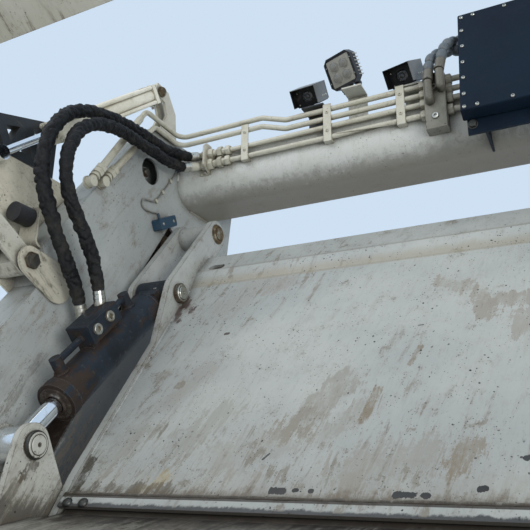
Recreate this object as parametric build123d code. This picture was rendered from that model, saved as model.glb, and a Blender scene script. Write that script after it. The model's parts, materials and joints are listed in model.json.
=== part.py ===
from build123d import *
import math
import os

# Rear loader tailgate of a collection truck, in millimetres.
# X runs across the truck, +Y forward to the body, +Z up.
# The origin is the middle of the top hinge axis that carries the tailgate on the body.
# Places in the side view are (y, z) pairs, and angles there are in degrees from +Y towards +Z.

os.makedirs("parts", exist_ok=True)


def along(point, angle, distance):
    """The (y, z) place at a distance and an angle in degrees from another place."""
    return (point[0] + distance * math.cos(math.radians(angle)),
            point[1] + distance * math.sin(math.radians(angle)))


def heading(start, end):
    """The angle in degrees from one (y, z) place to another."""
    return math.degrees(math.atan2(end[1] - start[1], end[0] - start[0])) % 360.0


def shifted(place, step):
    """The (y, z) place at a step from another place."""
    return (place[0] + step[0], place[1] + step[1])


# Side walls
INNER_HALF = 1080.0
INNER_SKIN = 8.0
OUTER_SKIN = 6.0
WALL_THICK = 110.0
WALL_FRAME = 70.0
OUTER_HALF = INNER_HALF + WALL_THICK
REAR_TOP = (-645.0, -117.0)
FRONT_TOP = (25.0, -60.0)
FRONT_BOTTOM = (-300.0, -2040.0)
SILL_Z = -2110.0
GUIDE_SLOPE = 56.1
REAR_SLOPE_LOW = 53.5
EAR_TOP = (-1110.0, -742.0)
EAR_HEIGHT = 123.0
EAR_EDGE = EAR_TOP[0]
EAR_BOTTOM = shifted(EAR_TOP, (0.0, -EAR_HEIGHT))
REAR_BOTTOM = (EAR_BOTTOM[0] - (EAR_BOTTOM[1] - SILL_Z) / math.tan(math.radians(REAR_SLOPE_LOW)), SILL_Z)
WALL_HOLE = (-632.0, -295.0)
WALL_HOLE_R = 52.0

# Rollers of the carriage, and the slot and rail that guide them
UPPER_ROLLER = (-495.0, -540.0)
ROLLER_PITCH = 1175.0
CARRIAGE_STROKE = 500.0
LOWER_ROLLER = along(UPPER_ROLLER, GUIDE_SLOPE, -ROLLER_PITCH)
LOWEST_HINGE = along(LOWER_ROLLER, GUIDE_SLOPE, -CARRIAGE_STROKE)
SLOT_HALF = 36.0
ROLLER_GAP = 0.3
ROLLER_R = SLOT_HALF - ROLLER_GAP
ROLLER_LENGTH = 56.0
ROLLER_X = INNER_HALF + INNER_SKIN + 6.0
SLOT_END = 62.0
RAIL_WALL = 8.0
RAIL_DEPTH = 78.0

# Hopper floor and load sill
FLOOR_R = 630.0
FLOOR_THICK = 8.0
FLOOR_FRONT_ANGLE = 300.0
WALL_BELOW_FLOOR = 52.0
SILL_DEPTH = 90.0
SILL_HEIGHT = 110.0
SILL_RISE = 20.0
SILL_CORNER_R = 14.0

# Cross beam, roof and portal
BEAM_REAR = -450.0
BEAM_FRONT = -210.0
BEAM_BOTTOM = -355.0
BEAM_TOP = -138.0
BEAM_NOSE_R = 95.0
BEAM_TOP_R = 55.0
ROOF_THICK = 8.0
PORTAL_TUBE = 90.0
HEADER_RISE = 40.0
HEADER_DROP = 70.0

# Top hinge lugs and bottom latch lugs
HINGE_BORE_R = 25.05
HINGE_LUG_R = 58.0
HINGE_LUG_THICK = 30.0
HINGE_LUG_X = 760.0
HINGE_LUG_GAP = 70.0
LATCH_BORE_R = 20.05
LATCH_LUG_R = 48.0
LATCH_LUG_THICK = 28.0
LATCH_REACH = 120.0
LATCH_PLACE = (-240.0, -1900.0)

# Carriage plate, ears, axles
EAR_THICK = 22.0
EAR_GAP = 122.0
WALL_CLEARANCE = 56.0
PLATE_HALF = INNER_HALF - WALL_CLEARANCE - 2 * EAR_THICK - EAR_GAP
PLATE_BOTTOM = shifted(LOWER_ROLLER, (-10.6, 67.2))
PLATE_TOP = shifted(UPPER_ROLLER, (-52.0, -109.0))
PLATE_THICK = 46.0
RIDGE_START = 168.0
RIDGE_TOP = 108.0
RIDGE_RISE = 14.0
STRIP_LAP = 6.0
STRIP_DROP = 29.0
STRIP_THICK = 12.0
DRAIN_X = PLATE_HALF - 70.0
DRAIN_FROM_TOP = 84.0
DRAIN_LENGTH = 60.0
DRAIN_WIDTH = 30.0
EAR_INNER_X = PLATE_HALF
EAR_OUTER_X = EAR_INNER_X + EAR_THICK + EAR_GAP
CYLINDER_X = EAR_INNER_X + EAR_THICK + EAR_GAP / 2
UPPER_BOSS_R = 52.0
AXLE_R = 24.0
EAR_BAND_R = 34.0
PIN_HEAD = 12.0
PIN_HEAD_R = 33.0

# Blade
BLADE_REACH = 600.0
BLADE_REST_ANGLE = 188.0
BLADE_THICK = 80.0
BLADE_HALF = PLATE_HALF - 13.0
BLADE_WIDE_START = 84.0
EDGE_LENGTH = 70.0
EDGE_THICK = 40.0
HINGE_TUBE_R = 48.0
HINGE_PIN_R = 25.0
TUBE_PIN_DEPTH = 160.0
BLADE_GAP = 6.0

# Blade cylinders, from the carriage ears to the blade ears
BARREL_PIN_OFFSET = (-230.0, -285.0)
BARREL_PIN = shifted(UPPER_ROLLER, BARREL_PIN_OFFSET)
BLADE_PIN_OFFSET = (-106.7, 188.3)
BLADE_PIN = shifted(LOWER_ROLLER, BLADE_PIN_OFFSET)
BARREL_PIN_BOSS_R = 58.0
BLADE_EAR_R = 52.0
BLADE_EAR_THICK = 18.0
BLADE_EAR_ROOT = 170.0
BARREL_R = 55.0
BARREL_EYE_R = 50.0
BARREL_START = 58.0
BARREL_END = 540.0
GLAND_R = 58.0
GLAND_LENGTH = 30.0
ROD_R = 24.0
ROD_EYE_R = 44.0
ROD_EYE_WIDTH = 68.0
BORE_R = 46.0
PISTON_LENGTH = 50.0
CAP_TAPER = 26.0
CAP_TAPER_R = 42.0
BLOCK_START = 248.0
BLOCK_LENGTH = 146.0
BLOCK_BASE = 60.0
BLOCK_RISE = 62.0
BLOCK_WIDTH = 82.0
BLOCK_CORNER_R = 4.0
PAD_LENGTH = 26.0
PORT_HIGH = 160.0
PORT_LOW = 508.0
PORT_R = 17.0
PORT_RISE = 100.0
PIPE_R = 10.0
PIPE_RISE = 86.0
FERRULE_R = 17.0
FERRULE_LENGTH = 52.0
PIN_R = 25.0
PIN_GAP = 0.06

# Rear cover and its air cylinders
COVER_PIVOT = shifted(EAR_TOP, (-51.0, -70.0))
COVER_ROD_PIN = (-1259.0, -499.0)
COVER_ARM_X = OUTER_HALF + 8.0
COVER_ARM_THICK = 12.0
COVER_ARM_R = 55.0
COVER_TIP_R = 40.0
COVER_EYE_R = 42.0
COVER_TUBE_R = 30.0
COVER_PIN_R = 16.0
COVER_BRACKET_THICK = 7.6
COVER_BRACKET_R = 44.0
COVER_BRACKET_ROOT = (-1050.0, -850.0)
COVER_BRACKET_ROOT_R = 62.0
COVER_LENGTH = 820.0
COVER_ANGLE = 150.0
CHEEK_CORNER = (-945.0, -505.0)
CHEEK_CORNER_R = 45.0
CHANNEL_HALF = 38.0
CHANNEL_WALL = 6.0
CHANNEL_LOW = INNER_HALF + 10.0
CHANNEL_HIGH = OUTER_HALF - 6.0
SHEET_START = 560.0
SHEET_THICK = 5.0
SHEET_LIP = 60.0
TRUSS_DEPTH = 40.0
TRUSS_BAR = 34.0
TRUSS_FRONT = (-1005.0, -272.0)
TRUSS_FRONT_LOW = (-1005.0, -420.0)
TRUSS_TAIL = (-1700.0, -510.0)
TRUSS_PANELS = 5
STOP_PLATE_THICK = 8.0
STOP_BULGE = 21.0
STOP_LOW = INNER_HALF + 15.0
STOP_HIGH = OUTER_HALF - 25.0
STOP_R = 30.0
STOP_LENGTH = 62.0
STOP_Z = -661.0
AIR_BASE_PIN = (-554.0, 107.0)
AIR_START = 40.0
AIR_LENGTH = 640.0
AIR_HALF = 38.0
AIR_ROD_R = 14.0
AIR_X = OUTER_HALF - 45.0
AIR_PIN_R = 12.0
AIR_CAP = 24.0
AIR_TUBE_R = 33.0
TIE_ROD_R = 8.0
TIE_ROD_PLACE = 29.0
NECK_REAR = -560.0
NECK_FRONT = -420.0
NECK_HALF_GAP = 16.0
NECK_THICK = 12.0

# Steel tubes on the beam and on the walls
TUBE_R = 10.0
TUBE_OFF_BEAM = 5.0
TUBE_Y = BEAM_REAR - TUBE_R - TUBE_OFF_BEAM
TUBE_HEIGHTS = (-225.0, -182.0, -147.0, -110.0)
HIGH_TUBE_RISE = 34.0
JOGGLE_START = INNER_HALF - 490.0
JOGGLE_END = INNER_HALF - 390.0
WALL_TUBE_R = 13.0
WALL_TUBE_X = INNER_HALF - WALL_TUBE_R - 0.5
# Down the walls' rear edges: the (y, z) places of each upper tube's last two corners, lower tube first
WALL_TUBE_CORNERS = (((-643.0, TUBE_HEIGHTS[2] + HIGH_TUBE_RISE), (-883.0, -431.0)),
                     ((-700.0, TUBE_HEIGHTS[3] + HIGH_TUBE_RISE), (-943.0, -452.0)))
WALL_TUBE_FROM = 60.0
ELBOW_R = 18.0
ELBOW_NUT = 26.0
ELBOW_REACH = 34.0
ELBOW_FLANGE_R = 22.0
ELBOW_FLANGE = 6.0
CLAMP_WIDTH = 30.0
CLAMP_THICK = 4.0
CLAMP_PLACES = (150.0, 420.0, INNER_HALF - 320.0)

# Bulkhead plates where the hoses start, and the manifold in the middle
BULKHEAD_X = INNER_HALF - 155.0
BULKHEAD_THICK = 8.0
BULKHEAD_LOW = -262.0
BULKHEAD_HIGH = -140.0
BULKHEAD_REAR = -502.0
BULKHEAD_FOOT = 44.0
BULKHEAD_FOOT_TOP = -200.0
BULKHEAD_FOOT_THICK = 6.0
BULKHEAD_TAPER = 24.0
BULKHEAD_CORNER = 16.0
UNION_R = TUBE_R + TUBE_OFF_BEAM - 0.5
UNION_FROM = BULKHEAD_X - 87.0
UNION_ELBOW = 16.0
UNION_LENGTH = 25.0
EXIT_DIRECTION = (0.62, -0.74, -0.25)
UPPER_FERRULE = 52.0
LOWER_FERRULE = 80.0
MANIFOLD_LOW_X = -64.0
MANIFOLD_HIGH_X = 8.0
MANIFOLD_REAR = -500.0
MANIFOLD_BOTTOM = -300.0
MANIFOLD_TOP = -92.0

# Hoses: the routes of the right side's hoses, each place as (across from the cylinder, y, z), and the two that
# lead to the couplings
HOSE_R = 20.0
OUTER_ROUTE = [(CYLINDER_X + across, y, z) for across, y, z in (
    (49.4, -503.5, -195.0), (70.0, -553.0, -206.0), (84.0, -628.0, -212.0), (89.0, -728.0, -210.0),
    (89.5, -858.0, -221.0), (86.0, -990.0, -250.0), (75.0, -1088.0, -296.0), (65.0, -1172.0, -362.0),
    (59.0, -1222.0, -452.0), (59.0, -1236.0, -548.0), (59.0, -1205.0, -640.0), (59.0, -1150.0, -735.0),
    (59.0, -1093.0, -812.0), (61.0, -1048.0, -865.0), (63.0, -1024.0, -912.0))]
INNER_ROUTE = [(CYLINDER_X + across, y, z) for across, y, z in (
    (66.8, -524.2, -245.0), (75.0, -575.0, -254.0), (73.0, -650.0, -262.0), (67.0, -735.0, -268.0),
    (62.0, -836.0, -276.0), (57.0, -940.0, -290.0), (45.0, -1035.0, -322.0), (31.0, -1115.0, -378.0),
    (21.0, -1166.0, -448.0), (19.0, -1186.0, -530.0), (19.0, -1166.0, -612.0), (19.0, -1112.0, -683.0),
    (18.0, -1058.0, -748.0), (16.0, -1017.0, -815.0), (14.0, -1002.0, -872.0))]
SUPPLY_R = 14.0
SUPPLY_START_LOW = (-40.0, -516.0, -95.0)
FIRST_SUPPLY_ROUTE = [SUPPLY_START_LOW, (-37.0, -504.0, -46.0), (-20.0, -478.0, -8.0), (20.0, -444.0, 14.0),
                      (80.0, -412.0, 24.0), (150.0, -386.0, 22.0), (222.0, -372.0, 12.0)]
SUPPLY_START_HIGH = (4.0, -516.0, -62.0)
SECOND_SUPPLY_ROUTE = [SUPPLY_START_HIGH, (12.0, -504.0, -12.0), (26.0, -464.0, 36.0), (52.0, -404.0, 74.0),
                       (110.0, -376.0, 94.0), (170.0, -366.0, 96.0), (222.0, -360.0, 86.0)]
COUPLING_X = 222.0
COUPLING_THICK = 8.0
COUPLING_R = 18.0
COUPLING_LENGTH = 40.0
COUPLING_REAR = -394.0
COUPLING_CREST = -336.0
COUPLING_FRONT = -300.0
COUPLING_TOP = 116.0

# Control box on its flange
BOX_LEFT = 63.0
BOX_RIGHT = 483.0
BOX_BOTTOM = (-600.0, -317.0)
BOX_TILT = 72.4
BOX_HEIGHT = 480.0
BOX_DEPTH = 48.0
BOX_CORNER_R = 5.0
FLANGE_LEFT = 74.0
FLANGE_THICK = 8.0
FLANGE_BOTTOM = -378.0
FLANGE_TOP = -268.0
FLANGE_REAR = -549.0
GUSSET_THICK = 8.0

# Work lamp and cameras on the beam: middle place, yaw to the left and pitch down in degrees
LAMP_SIZE = 122.0
LAMP_DEPTH = 34.0
LAMP_CHAMFER = 17.0
LAMP_FIN = 4.0
LAMP_FIN_RISE = 22.0
LAMP_PLACE = (-349.0, -462.0, 38.0)
LAMP_TURN = (20.0, 29.0)
LENS_RECESS = 3.0
CAMERA_WIDTH = 100.0
CAMERA_HEIGHT = 72.0
CAMERA_DEPTH = 88.0
HOOD_THICK = 3.0
HOOD_REACH = 34.0
CAMERA_PLACES = ((-493.0, -446.0, -17.0), (-129.0, -443.0, -35.0))
CAMERA_TURNS = ((3.0, 38.0), (13.0, 33.0))
STAND_Y = -398.0
STAND_THICK = 6.0
STAND_FOOT = 50.0
SHELF_REACH = 74.0
# Each stand on the beam: low x, high x, height of its shelf
STANDS = ((-523.0, -436.0, -80.0), (-363.0, -290.0, -40.0), (-150.0, -78.0, -92.0))
POST_R = 9.0

# Position sensor on the left wall, with its lead
SENSOR_PLACE = (-549.0, -480.0)
SENSOR_ANGLE = 28.8
SENSOR_LENGTH = 112.0
SENSOR_HALF = 21.0
SENSOR_WIDTH = 38.0
LEAD_R = 3.0
LEAD_X = -INNER_HALF + 4.5
LEAD_ROUTE = [(LEAD_X, -574.0, -446.0), (LEAD_X, -603.0, -455.0), (LEAD_X, -633.0, -459.0),
              (LEAD_X, -663.0, -460.0), (LEAD_X, -675.0, -448.3), (LEAD_X, -675.0, -431.7),
              (LEAD_X, -663.0, -420.0),
              (LEAD_X, -632.0, -417.0), (LEAD_X, -600.0, -409.0), (LEAD_X, -574.0, -381.0),
              (LEAD_X, -546.0, -340.0), (LEAD_X, -518.0, -302.0), (LEAD_X, -490.0, -262.0),
              (LEAD_X, -468.0, -226.0)]
GROMMET_R = 9.0

# Tail lamps on the rear edges of the walls
TAIL_LAMP_HIGH = -1330.0
TAIL_LAMP_LOW = -1620.0
TAIL_LAMP_DEPTH = 20.0
TAIL_LAMP_INSET = 9.0
TAIL_LENS_R = 36.0
TAIL_LENS_DEPTH = 5.0
TAIL_LENS_PITCH = 86.0


def yz_prism(points, x_low, x_high):
    """A flat outline in the side view, made thick between two x values."""
    return extrude(Plane.YZ.offset(x_low) * Polygon(*points, align=None), amount=x_high - x_low,
                   dir=(1, 0, 0))


def yz_hull(circles, x_low, x_high):
    """The outline round some (place, radius) circles in the side view, made thick."""
    edges = [CenterArc((place[0], place[1], 0), radius, 0, 360) for place, radius in circles]
    return extrude(Plane.YZ.offset(x_low) * make_hull(edges), amount=x_high - x_low, dir=(1, 0, 0))


def x_rod(place, radius, x_low, x_high):
    """A round bar along X at a place in the side view."""
    return extrude(Plane.YZ.offset(x_low) * Pos(*place) * Circle(radius), amount=x_high - x_low,
                   dir=(1, 0, 0))


def yz_box(start, angle, length, half_height, x_low, x_high):
    """A bar that runs from a place in the side view at an angle."""
    frame = Plane(origin=(x_low, *start), x_dir=(0, *along((0, 0), angle, 1)), z_dir=(1, 0, 0))
    outline = frame * Pos(length / 2, 0) * Rectangle(abs(length), 2 * half_height)
    return extrude(outline, amount=x_high - x_low, dir=(1, 0, 0))


def side_rod(start, angle, length, radius, x):
    """A round bar that lies in the side view, from a place at an angle."""
    direction = (0, *along((0, 0), angle, 1))
    frame = Plane(origin=(x, *start), x_dir=(1, 0, 0), z_dir=direction)
    return extrude(frame * Circle(radius), amount=length, dir=direction)


def hose(route, radius):
    """A tube of straight runs and tangent arcs, each arc as large as its two runs allow."""
    runs = [Vector(*end) - Vector(*start) for start, end in zip(route, route[1:])]
    radii = [0.45 * min(one.length, two.length) / math.tan(math.radians(one.get_angle(two)) / 2)
             for one, two in zip(runs, runs[1:])]
    path = FilletPolyline(*route, radius=radii)
    tube = sweep(Plane(origin=route[0], z_dir=runs[0]) * Circle(radius), path=path)
    expected = math.pi * radius ** 2 * path.length
    print(f"hose r{radius:g}: length {path.length:.0f}, radii {[round(value) for value in radii]}, "
          f"volume {tube.volume / expected:.4f} of section times length")
    return tube


def straight(start, end, radius):
    """A round bar from one place to another."""
    direction = Vector(*end) - Vector(*start)
    return extrude(Plane(origin=start, z_dir=direction) * Circle(radius), amount=direction.length,
                   dir=direction)


def turned_frame(place, turn):
    """A frame whose -Y looks out of a device: turned to the left and then pitched down, in degrees."""
    return Location(place) * Rotation(0, 0, -turn[0]) * Rotation(turn[1], 0, 0)


def mirrored(shape):
    """The same piece on the other side of the truck."""
    return mirror(shape, about=Plane.YZ)


def save(shape, name):
    """Write one sub-part."""
    export_step(Compound(shape.solids()), f"parts/{name}.step")


def save_both(shape, name):
    """Write a piece and its mirror image as one node."""
    export_step(Compound([*shape.solids(), *mirrored(shape).solids()]), f"parts/{name}.step")


def save_pair(shape, name):
    """Write a piece of the right side and its mirror image as two nodes."""
    save(shape, f"right_{name}")
    save(mirrored(shape), f"left_{name}")


# Hopper floor line: the arc under the blade, then the ramp to the body
FLOOR_REAR_ANGLE = heading(LOWEST_HINGE, REAR_BOTTOM)
RAMP_SLOPE = FLOOR_FRONT_ANGLE - 270.0


def floor_path(radius):
    """The floor's corner places for one radius: arc start, middle and end, and the ramp's end."""
    first, middle, last = (along(LOWEST_HINGE, angle, radius) for angle in
                           (FLOOR_REAR_ANGLE, (FLOOR_REAR_ANGLE + FLOOR_FRONT_ANGLE) / 2, FLOOR_FRONT_ANGLE))
    front_y = FRONT_BOTTOM[0]
    ramp_end = (front_y, last[1] + (front_y - last[0]) * math.tan(math.radians(RAMP_SLOPE)))
    return first, middle, last, ramp_end


def wall_face(inset):
    """The side wall's outline, moved in from every edge."""
    first, middle, last, ramp_end = floor_path(FLOOR_R + WALL_BELOW_FLOOR)
    lines = Curve() + [Line(REAR_TOP, FRONT_TOP), Line(FRONT_TOP, ramp_end), Line(ramp_end, last),
                       ThreePointArc(last, middle, first), Line(first, EAR_BOTTOM),
                       Line(EAR_BOTTOM, EAR_TOP),
                       Line(EAR_TOP, REAR_TOP)]
    face = make_face(lines)
    return offset(face, amount=-inset) if inset else face


# Side walls: an inner skin with the slot and the hole, an outer skin, and a frame between them
slot_start = along(UPPER_ROLLER, GUIDE_SLOPE, SLOT_END)
slot_length = -(ROLLER_PITCH + CARRIAGE_STROKE + 2 * SLOT_END)
inner_skin = extrude(Plane.YZ.offset(INNER_HALF) * wall_face(0.0), amount=INNER_SKIN, dir=(1, 0, 0))
inner_skin -= yz_box(slot_start, GUIDE_SLOPE, slot_length, SLOT_HALF, INNER_HALF - 1,
                     INNER_HALF + INNER_SKIN + 1)
inner_skin -= x_rod(WALL_HOLE, WALL_HOLE_R, INNER_HALF - 1, INNER_HALF + INNER_SKIN + 1)
save_pair(inner_skin, "wall_inner")
outer_skin = extrude(Plane.YZ.offset(OUTER_HALF - OUTER_SKIN) * wall_face(0.0), amount=OUTER_SKIN,
                     dir=(1, 0, 0))
save_pair(outer_skin, "wall_outer")
wall_ring = extrude(Plane.YZ.offset(INNER_HALF + INNER_SKIN) * (wall_face(0.0) - wall_face(WALL_FRAME)),
                    amount=WALL_THICK - INNER_SKIN - OUTER_SKIN, dir=(1, 0, 0))
save_pair(wall_ring, "wall_frame")

# Guide rails behind the slots, one channel a side
rail_low = INNER_HALF + INNER_SKIN
rail = yz_box(along(slot_start, GUIDE_SLOPE, RAIL_WALL), GUIDE_SLOPE, slot_length - 2 * RAIL_WALL,
              SLOT_HALF + RAIL_WALL, rail_low, rail_low + RAIL_DEPTH)
rail -= yz_box(slot_start, GUIDE_SLOPE, slot_length, SLOT_HALF, rail_low - 1,
               rail_low + RAIL_DEPTH - RAIL_WALL)
save_both(rail, "guide_rails")

# Hopper floor: a rolled plate between the walls
outer_path = floor_path(FLOOR_R + FLOOR_THICK)
inner_path = floor_path(FLOOR_R)
floor_lines = Curve() + [
    ThreePointArc(*inner_path[:3]), Line(inner_path[2], inner_path[3]), Line(inner_path[3], outer_path[3]),
    Line(outer_path[3], outer_path[2]), ThreePointArc(*reversed(outer_path[:3])),
    Line(outer_path[0], inner_path[0])]
hopper_floor = extrude(Plane.YZ.offset(-INNER_HALF) * make_face(floor_lines), amount=2 * INNER_HALF,
                       dir=(1, 0, 0))
save(hopper_floor, "hopper_floor")

# Load sill along the rear edge of the floor
sill_middle = (inner_path[0][0] - SILL_DEPTH / 2, inner_path[0][1] - SILL_HEIGHT / 2 + SILL_RISE)
sill = Pos(0, *sill_middle) * Box(2 * INNER_HALF, SILL_DEPTH, SILL_HEIGHT)
sill = fillet(sill.edges().filter_by(Axis.X), SILL_CORNER_R) - hopper_floor
save(sill, "load_sill")

# Cross beam at the top, with its rounded nose to the rear
beam_outline = Pos((BEAM_REAR + BEAM_FRONT) / 2, (BEAM_BOTTOM + BEAM_TOP) / 2) * Rectangle(
    BEAM_FRONT - BEAM_REAR, BEAM_TOP - BEAM_BOTTOM)
rear_corners = beam_outline.vertices().sort_by(Axis.X)[:2].sort_by(Axis.Y)
beam_outline = fillet(rear_corners[0], BEAM_NOSE_R)
rear_upper = beam_outline.vertices().sort_by(Axis.Y)[-2:].sort_by(Axis.X)[0]
beam_outline = fillet(rear_upper, BEAM_TOP_R)
cross_beam = extrude(Plane.YZ.offset(-INNER_HALF) * beam_outline, amount=2 * INNER_HALF, dir=(1, 0, 0))
save(cross_beam, "cross_beam")

# Roof sheet from the beam to the portal header
header_rear = FRONT_TOP[0] - PORTAL_TUBE
save(yz_prism([(BEAM_FRONT, BEAM_TOP), (header_rear, BEAM_TOP), (header_rear, BEAM_TOP - ROOF_THICK),
               (BEAM_FRONT, BEAM_TOP - ROOF_THICK)], -INNER_HALF, INNER_HALF), "roof_sheet")


def front_line(z):
    """How far forward the tailgate's front edge is at a height."""
    share = (FRONT_TOP[1] - z) / (FRONT_TOP[1] - FRONT_BOTTOM[1])
    return FRONT_TOP[0] + share * (FRONT_BOTTOM[0] - FRONT_TOP[0])


header_top = BEAM_TOP + HEADER_RISE
header_bottom = BEAM_TOP - HEADER_DROP
save(yz_prism([(header_rear, header_top), (front_line(header_top), header_top),
               (front_line(header_bottom), header_bottom), (header_rear, header_bottom)],
              -INNER_HALF, INNER_HALF), "portal_header")

# Top hinge lugs on the header, two pairs
lugs = []
for lug_x in (HINGE_LUG_X, HINGE_LUG_X + HINGE_LUG_THICK + HINGE_LUG_GAP):
    lug = x_rod((0.0, 0.0), HINGE_LUG_R, lug_x, lug_x + HINGE_LUG_THICK)
    lug += yz_prism([(-HINGE_LUG_R, 0.0), (front_line(header_top), 0.0),
                     (front_line(header_top), header_top),
                     (-HINGE_LUG_R, header_top)], lug_x, lug_x + HINGE_LUG_THICK)
    lug -= x_rod((0.0, 0.0), HINGE_BORE_R, lug_x - 1, lug_x + HINGE_LUG_THICK + 1)
    lug -= yz_prism([(-HINGE_LUG_R - 1, header_top), (HINGE_LUG_R + 1, header_top),
                     (HINGE_LUG_R + 1, header_top - HINGE_LUG_R),
                     (-HINGE_LUG_R - 1, header_top - HINGE_LUG_R)],
                    lug_x - 1, lug_x + HINGE_LUG_THICK + 1)
    lugs.append(lug)
save_both(lugs[0] + lugs[1], "hinge_lugs")

# Latch lugs on the outer skins, low at the front
latch = yz_hull([(LATCH_PLACE, LATCH_LUG_R), (along(LATCH_PLACE, 180.0, LATCH_REACH), LATCH_LUG_R)],
                OUTER_HALF, OUTER_HALF + LATCH_LUG_THICK)
latch -= x_rod(LATCH_PLACE, LATCH_BORE_R, OUTER_HALF - 1, OUTER_HALF + LATCH_LUG_THICK + 1)
save_both(latch, "latch_lugs")

# Carriage plate: a ridge along the top with drain holes, and a strip along the foot
PLATE_ANGLE = heading(PLATE_BOTTOM, PLATE_TOP)
PLATE_LENGTH = math.dist(PLATE_TOP, PLATE_BOTTOM)
plate_middle = along(PLATE_BOTTOM, PLATE_ANGLE - 90.0, PLATE_THICK / 2)


def on_plate(up, out):
    """A place on the plate's section: a distance up from its foot, and out from its rear face."""
    return along(along(PLATE_BOTTOM, PLATE_ANGLE, up), PLATE_ANGLE + 90.0, out)


carriage_plate = yz_prism([on_plate(0.0, 0.0), on_plate(PLATE_LENGTH - RIDGE_START, 0.0),
                           on_plate(PLATE_LENGTH - RIDGE_TOP, RIDGE_RISE), on_plate(PLATE_LENGTH, 0.0),
                           on_plate(PLATE_LENGTH, -PLATE_THICK),
                           on_plate(0.0, -PLATE_THICK)], -PLATE_HALF, PLATE_HALF)
carriage_plate += yz_prism([on_plate(STRIP_LAP, 0.0), on_plate(STRIP_LAP, STRIP_THICK),
                            on_plate(-STRIP_DROP, STRIP_THICK),
                            on_plate(-STRIP_DROP, 0.0)], -PLATE_HALF, PLATE_HALF)
carriage_plate -= x_rod(LOWER_ROLLER, HINGE_TUBE_R + BLADE_GAP, -PLATE_HALF - 1, PLATE_HALF + 1)
for drain_x in (-DRAIN_X, DRAIN_X):
    drain_frame = Plane(origin=(drain_x, *on_plate(PLATE_LENGTH - DRAIN_FROM_TOP, RIDGE_RISE + 1.0)),
                        x_dir=(1, 0, 0),
                        z_dir=(0, *along((0, 0), PLATE_ANGLE - 90.0, 1.0)))
    carriage_plate -= extrude(drain_frame * SlotOverall(DRAIN_LENGTH, DRAIN_WIDTH),
                              amount=PLATE_THICK + RIDGE_RISE + 2.0)
save(carriage_plate, "carriage_plate")

# Carriage ears: the inner one runs down the plate's side to the blade hinge
web = along(plate_middle, PLATE_ANGLE, PLATE_LENGTH * 0.55)
foot = along(plate_middle, PLATE_ANGLE, 60.0)
ear_end = EAR_INNER_X + EAR_THICK
inner_ear = yz_hull([(UPPER_ROLLER, UPPER_BOSS_R), (BARREL_PIN, BARREL_PIN_BOSS_R)], EAR_INNER_X, ear_end)
inner_ear += yz_hull([(BARREL_PIN, BARREL_PIN_BOSS_R), (web, EAR_BAND_R)], EAR_INNER_X, ear_end)
inner_ear += yz_hull([(web, EAR_BAND_R), (foot, EAR_BAND_R)], EAR_INNER_X, ear_end)
inner_ear += yz_hull([(foot, EAR_BAND_R), (LOWER_ROLLER, HINGE_TUBE_R)], EAR_INNER_X, ear_end)
for place, radius in ((UPPER_ROLLER, AXLE_R), (BARREL_PIN, PIN_R), (LOWER_ROLLER, HINGE_PIN_R)):
    inner_ear -= x_rod(place, radius, EAR_INNER_X - 1, ear_end + 1)
save_both(inner_ear, "carriage_inner_ears")
outer_end = EAR_OUTER_X + EAR_THICK
outer_ear = yz_hull([(UPPER_ROLLER, UPPER_BOSS_R), (BARREL_PIN, BARREL_PIN_BOSS_R)], EAR_OUTER_X, outer_end)
for place, radius in ((UPPER_ROLLER, AXLE_R), (BARREL_PIN, PIN_R)):
    outer_ear -= x_rod(place, radius, EAR_OUTER_X - 1, outer_end + 1)
save_both(outer_ear, "carriage_outer_ears")
boss = x_rod(UPPER_ROLLER, UPPER_BOSS_R - 10.0, ear_end, EAR_OUTER_X)
boss -= x_rod(UPPER_ROLLER, AXLE_R, ear_end - 1, EAR_OUTER_X + 1)
save_both(boss, "carriage_bosses")

# Axles and rollers of the carriage
save_both(x_rod(UPPER_ROLLER, AXLE_R, EAR_INNER_X - PIN_HEAD, ROLLER_X + ROLLER_LENGTH), "upper_axles")
save_both(x_rod(LOWER_ROLLER, HINGE_PIN_R, BLADE_HALF - TUBE_PIN_DEPTH, ROLLER_X + ROLLER_LENGTH),
          "lower_axles")
rollers = []
for place, radius in ((UPPER_ROLLER, AXLE_R), (LOWER_ROLLER, HINGE_PIN_R)):
    roller = x_rod(place, ROLLER_R, ROLLER_X, ROLLER_X + ROLLER_LENGTH)
    rollers.append(roller - x_rod(place, radius, ROLLER_X - 1, ROLLER_X + ROLLER_LENGTH + 1))
save_both(rollers[0] + rollers[1], "guide_rollers")
barrel_pin = x_rod(BARREL_PIN, PIN_R, EAR_INNER_X, outer_end + PIN_HEAD)
barrel_pin += x_rod(BARREL_PIN, PIN_HEAD_R, EAR_INNER_X - PIN_HEAD, EAR_INNER_X)
save_both(barrel_pin, "barrel_pins")

# Blade: a folded box behind the hinge tube, wider past the carriage's ears
blade_length = BLADE_REACH - EDGE_LENGTH
blade_body = yz_box(along(LOWER_ROLLER, BLADE_REST_ANGLE, HINGE_TUBE_R - 8.0), BLADE_REST_ANGLE,
                    blade_length - HINGE_TUBE_R + 8.0, BLADE_THICK / 2, -BLADE_HALF, BLADE_HALF)
EAR_STACK_LOW = ear_end + 4.0
EAR_STACK_HIGH = EAR_OUTER_X - 4.0
blade_body += yz_box(along(LOWER_ROLLER, BLADE_REST_ANGLE, BLADE_WIDE_START), BLADE_REST_ANGLE,
                     blade_length - BLADE_WIDE_START, BLADE_THICK / 2, -EAR_STACK_HIGH, EAR_STACK_HIGH)
hinge_tube = x_rod(LOWER_ROLLER, HINGE_TUBE_R, -BLADE_HALF, BLADE_HALF)
tube_bore = x_rod(LOWER_ROLLER, HINGE_PIN_R + PIN_GAP, BLADE_HALF - TUBE_PIN_DEPTH - 1, BLADE_HALF + 1)
save(blade_body + hinge_tube - tube_bore - mirrored(tube_bore), "blade")
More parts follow.
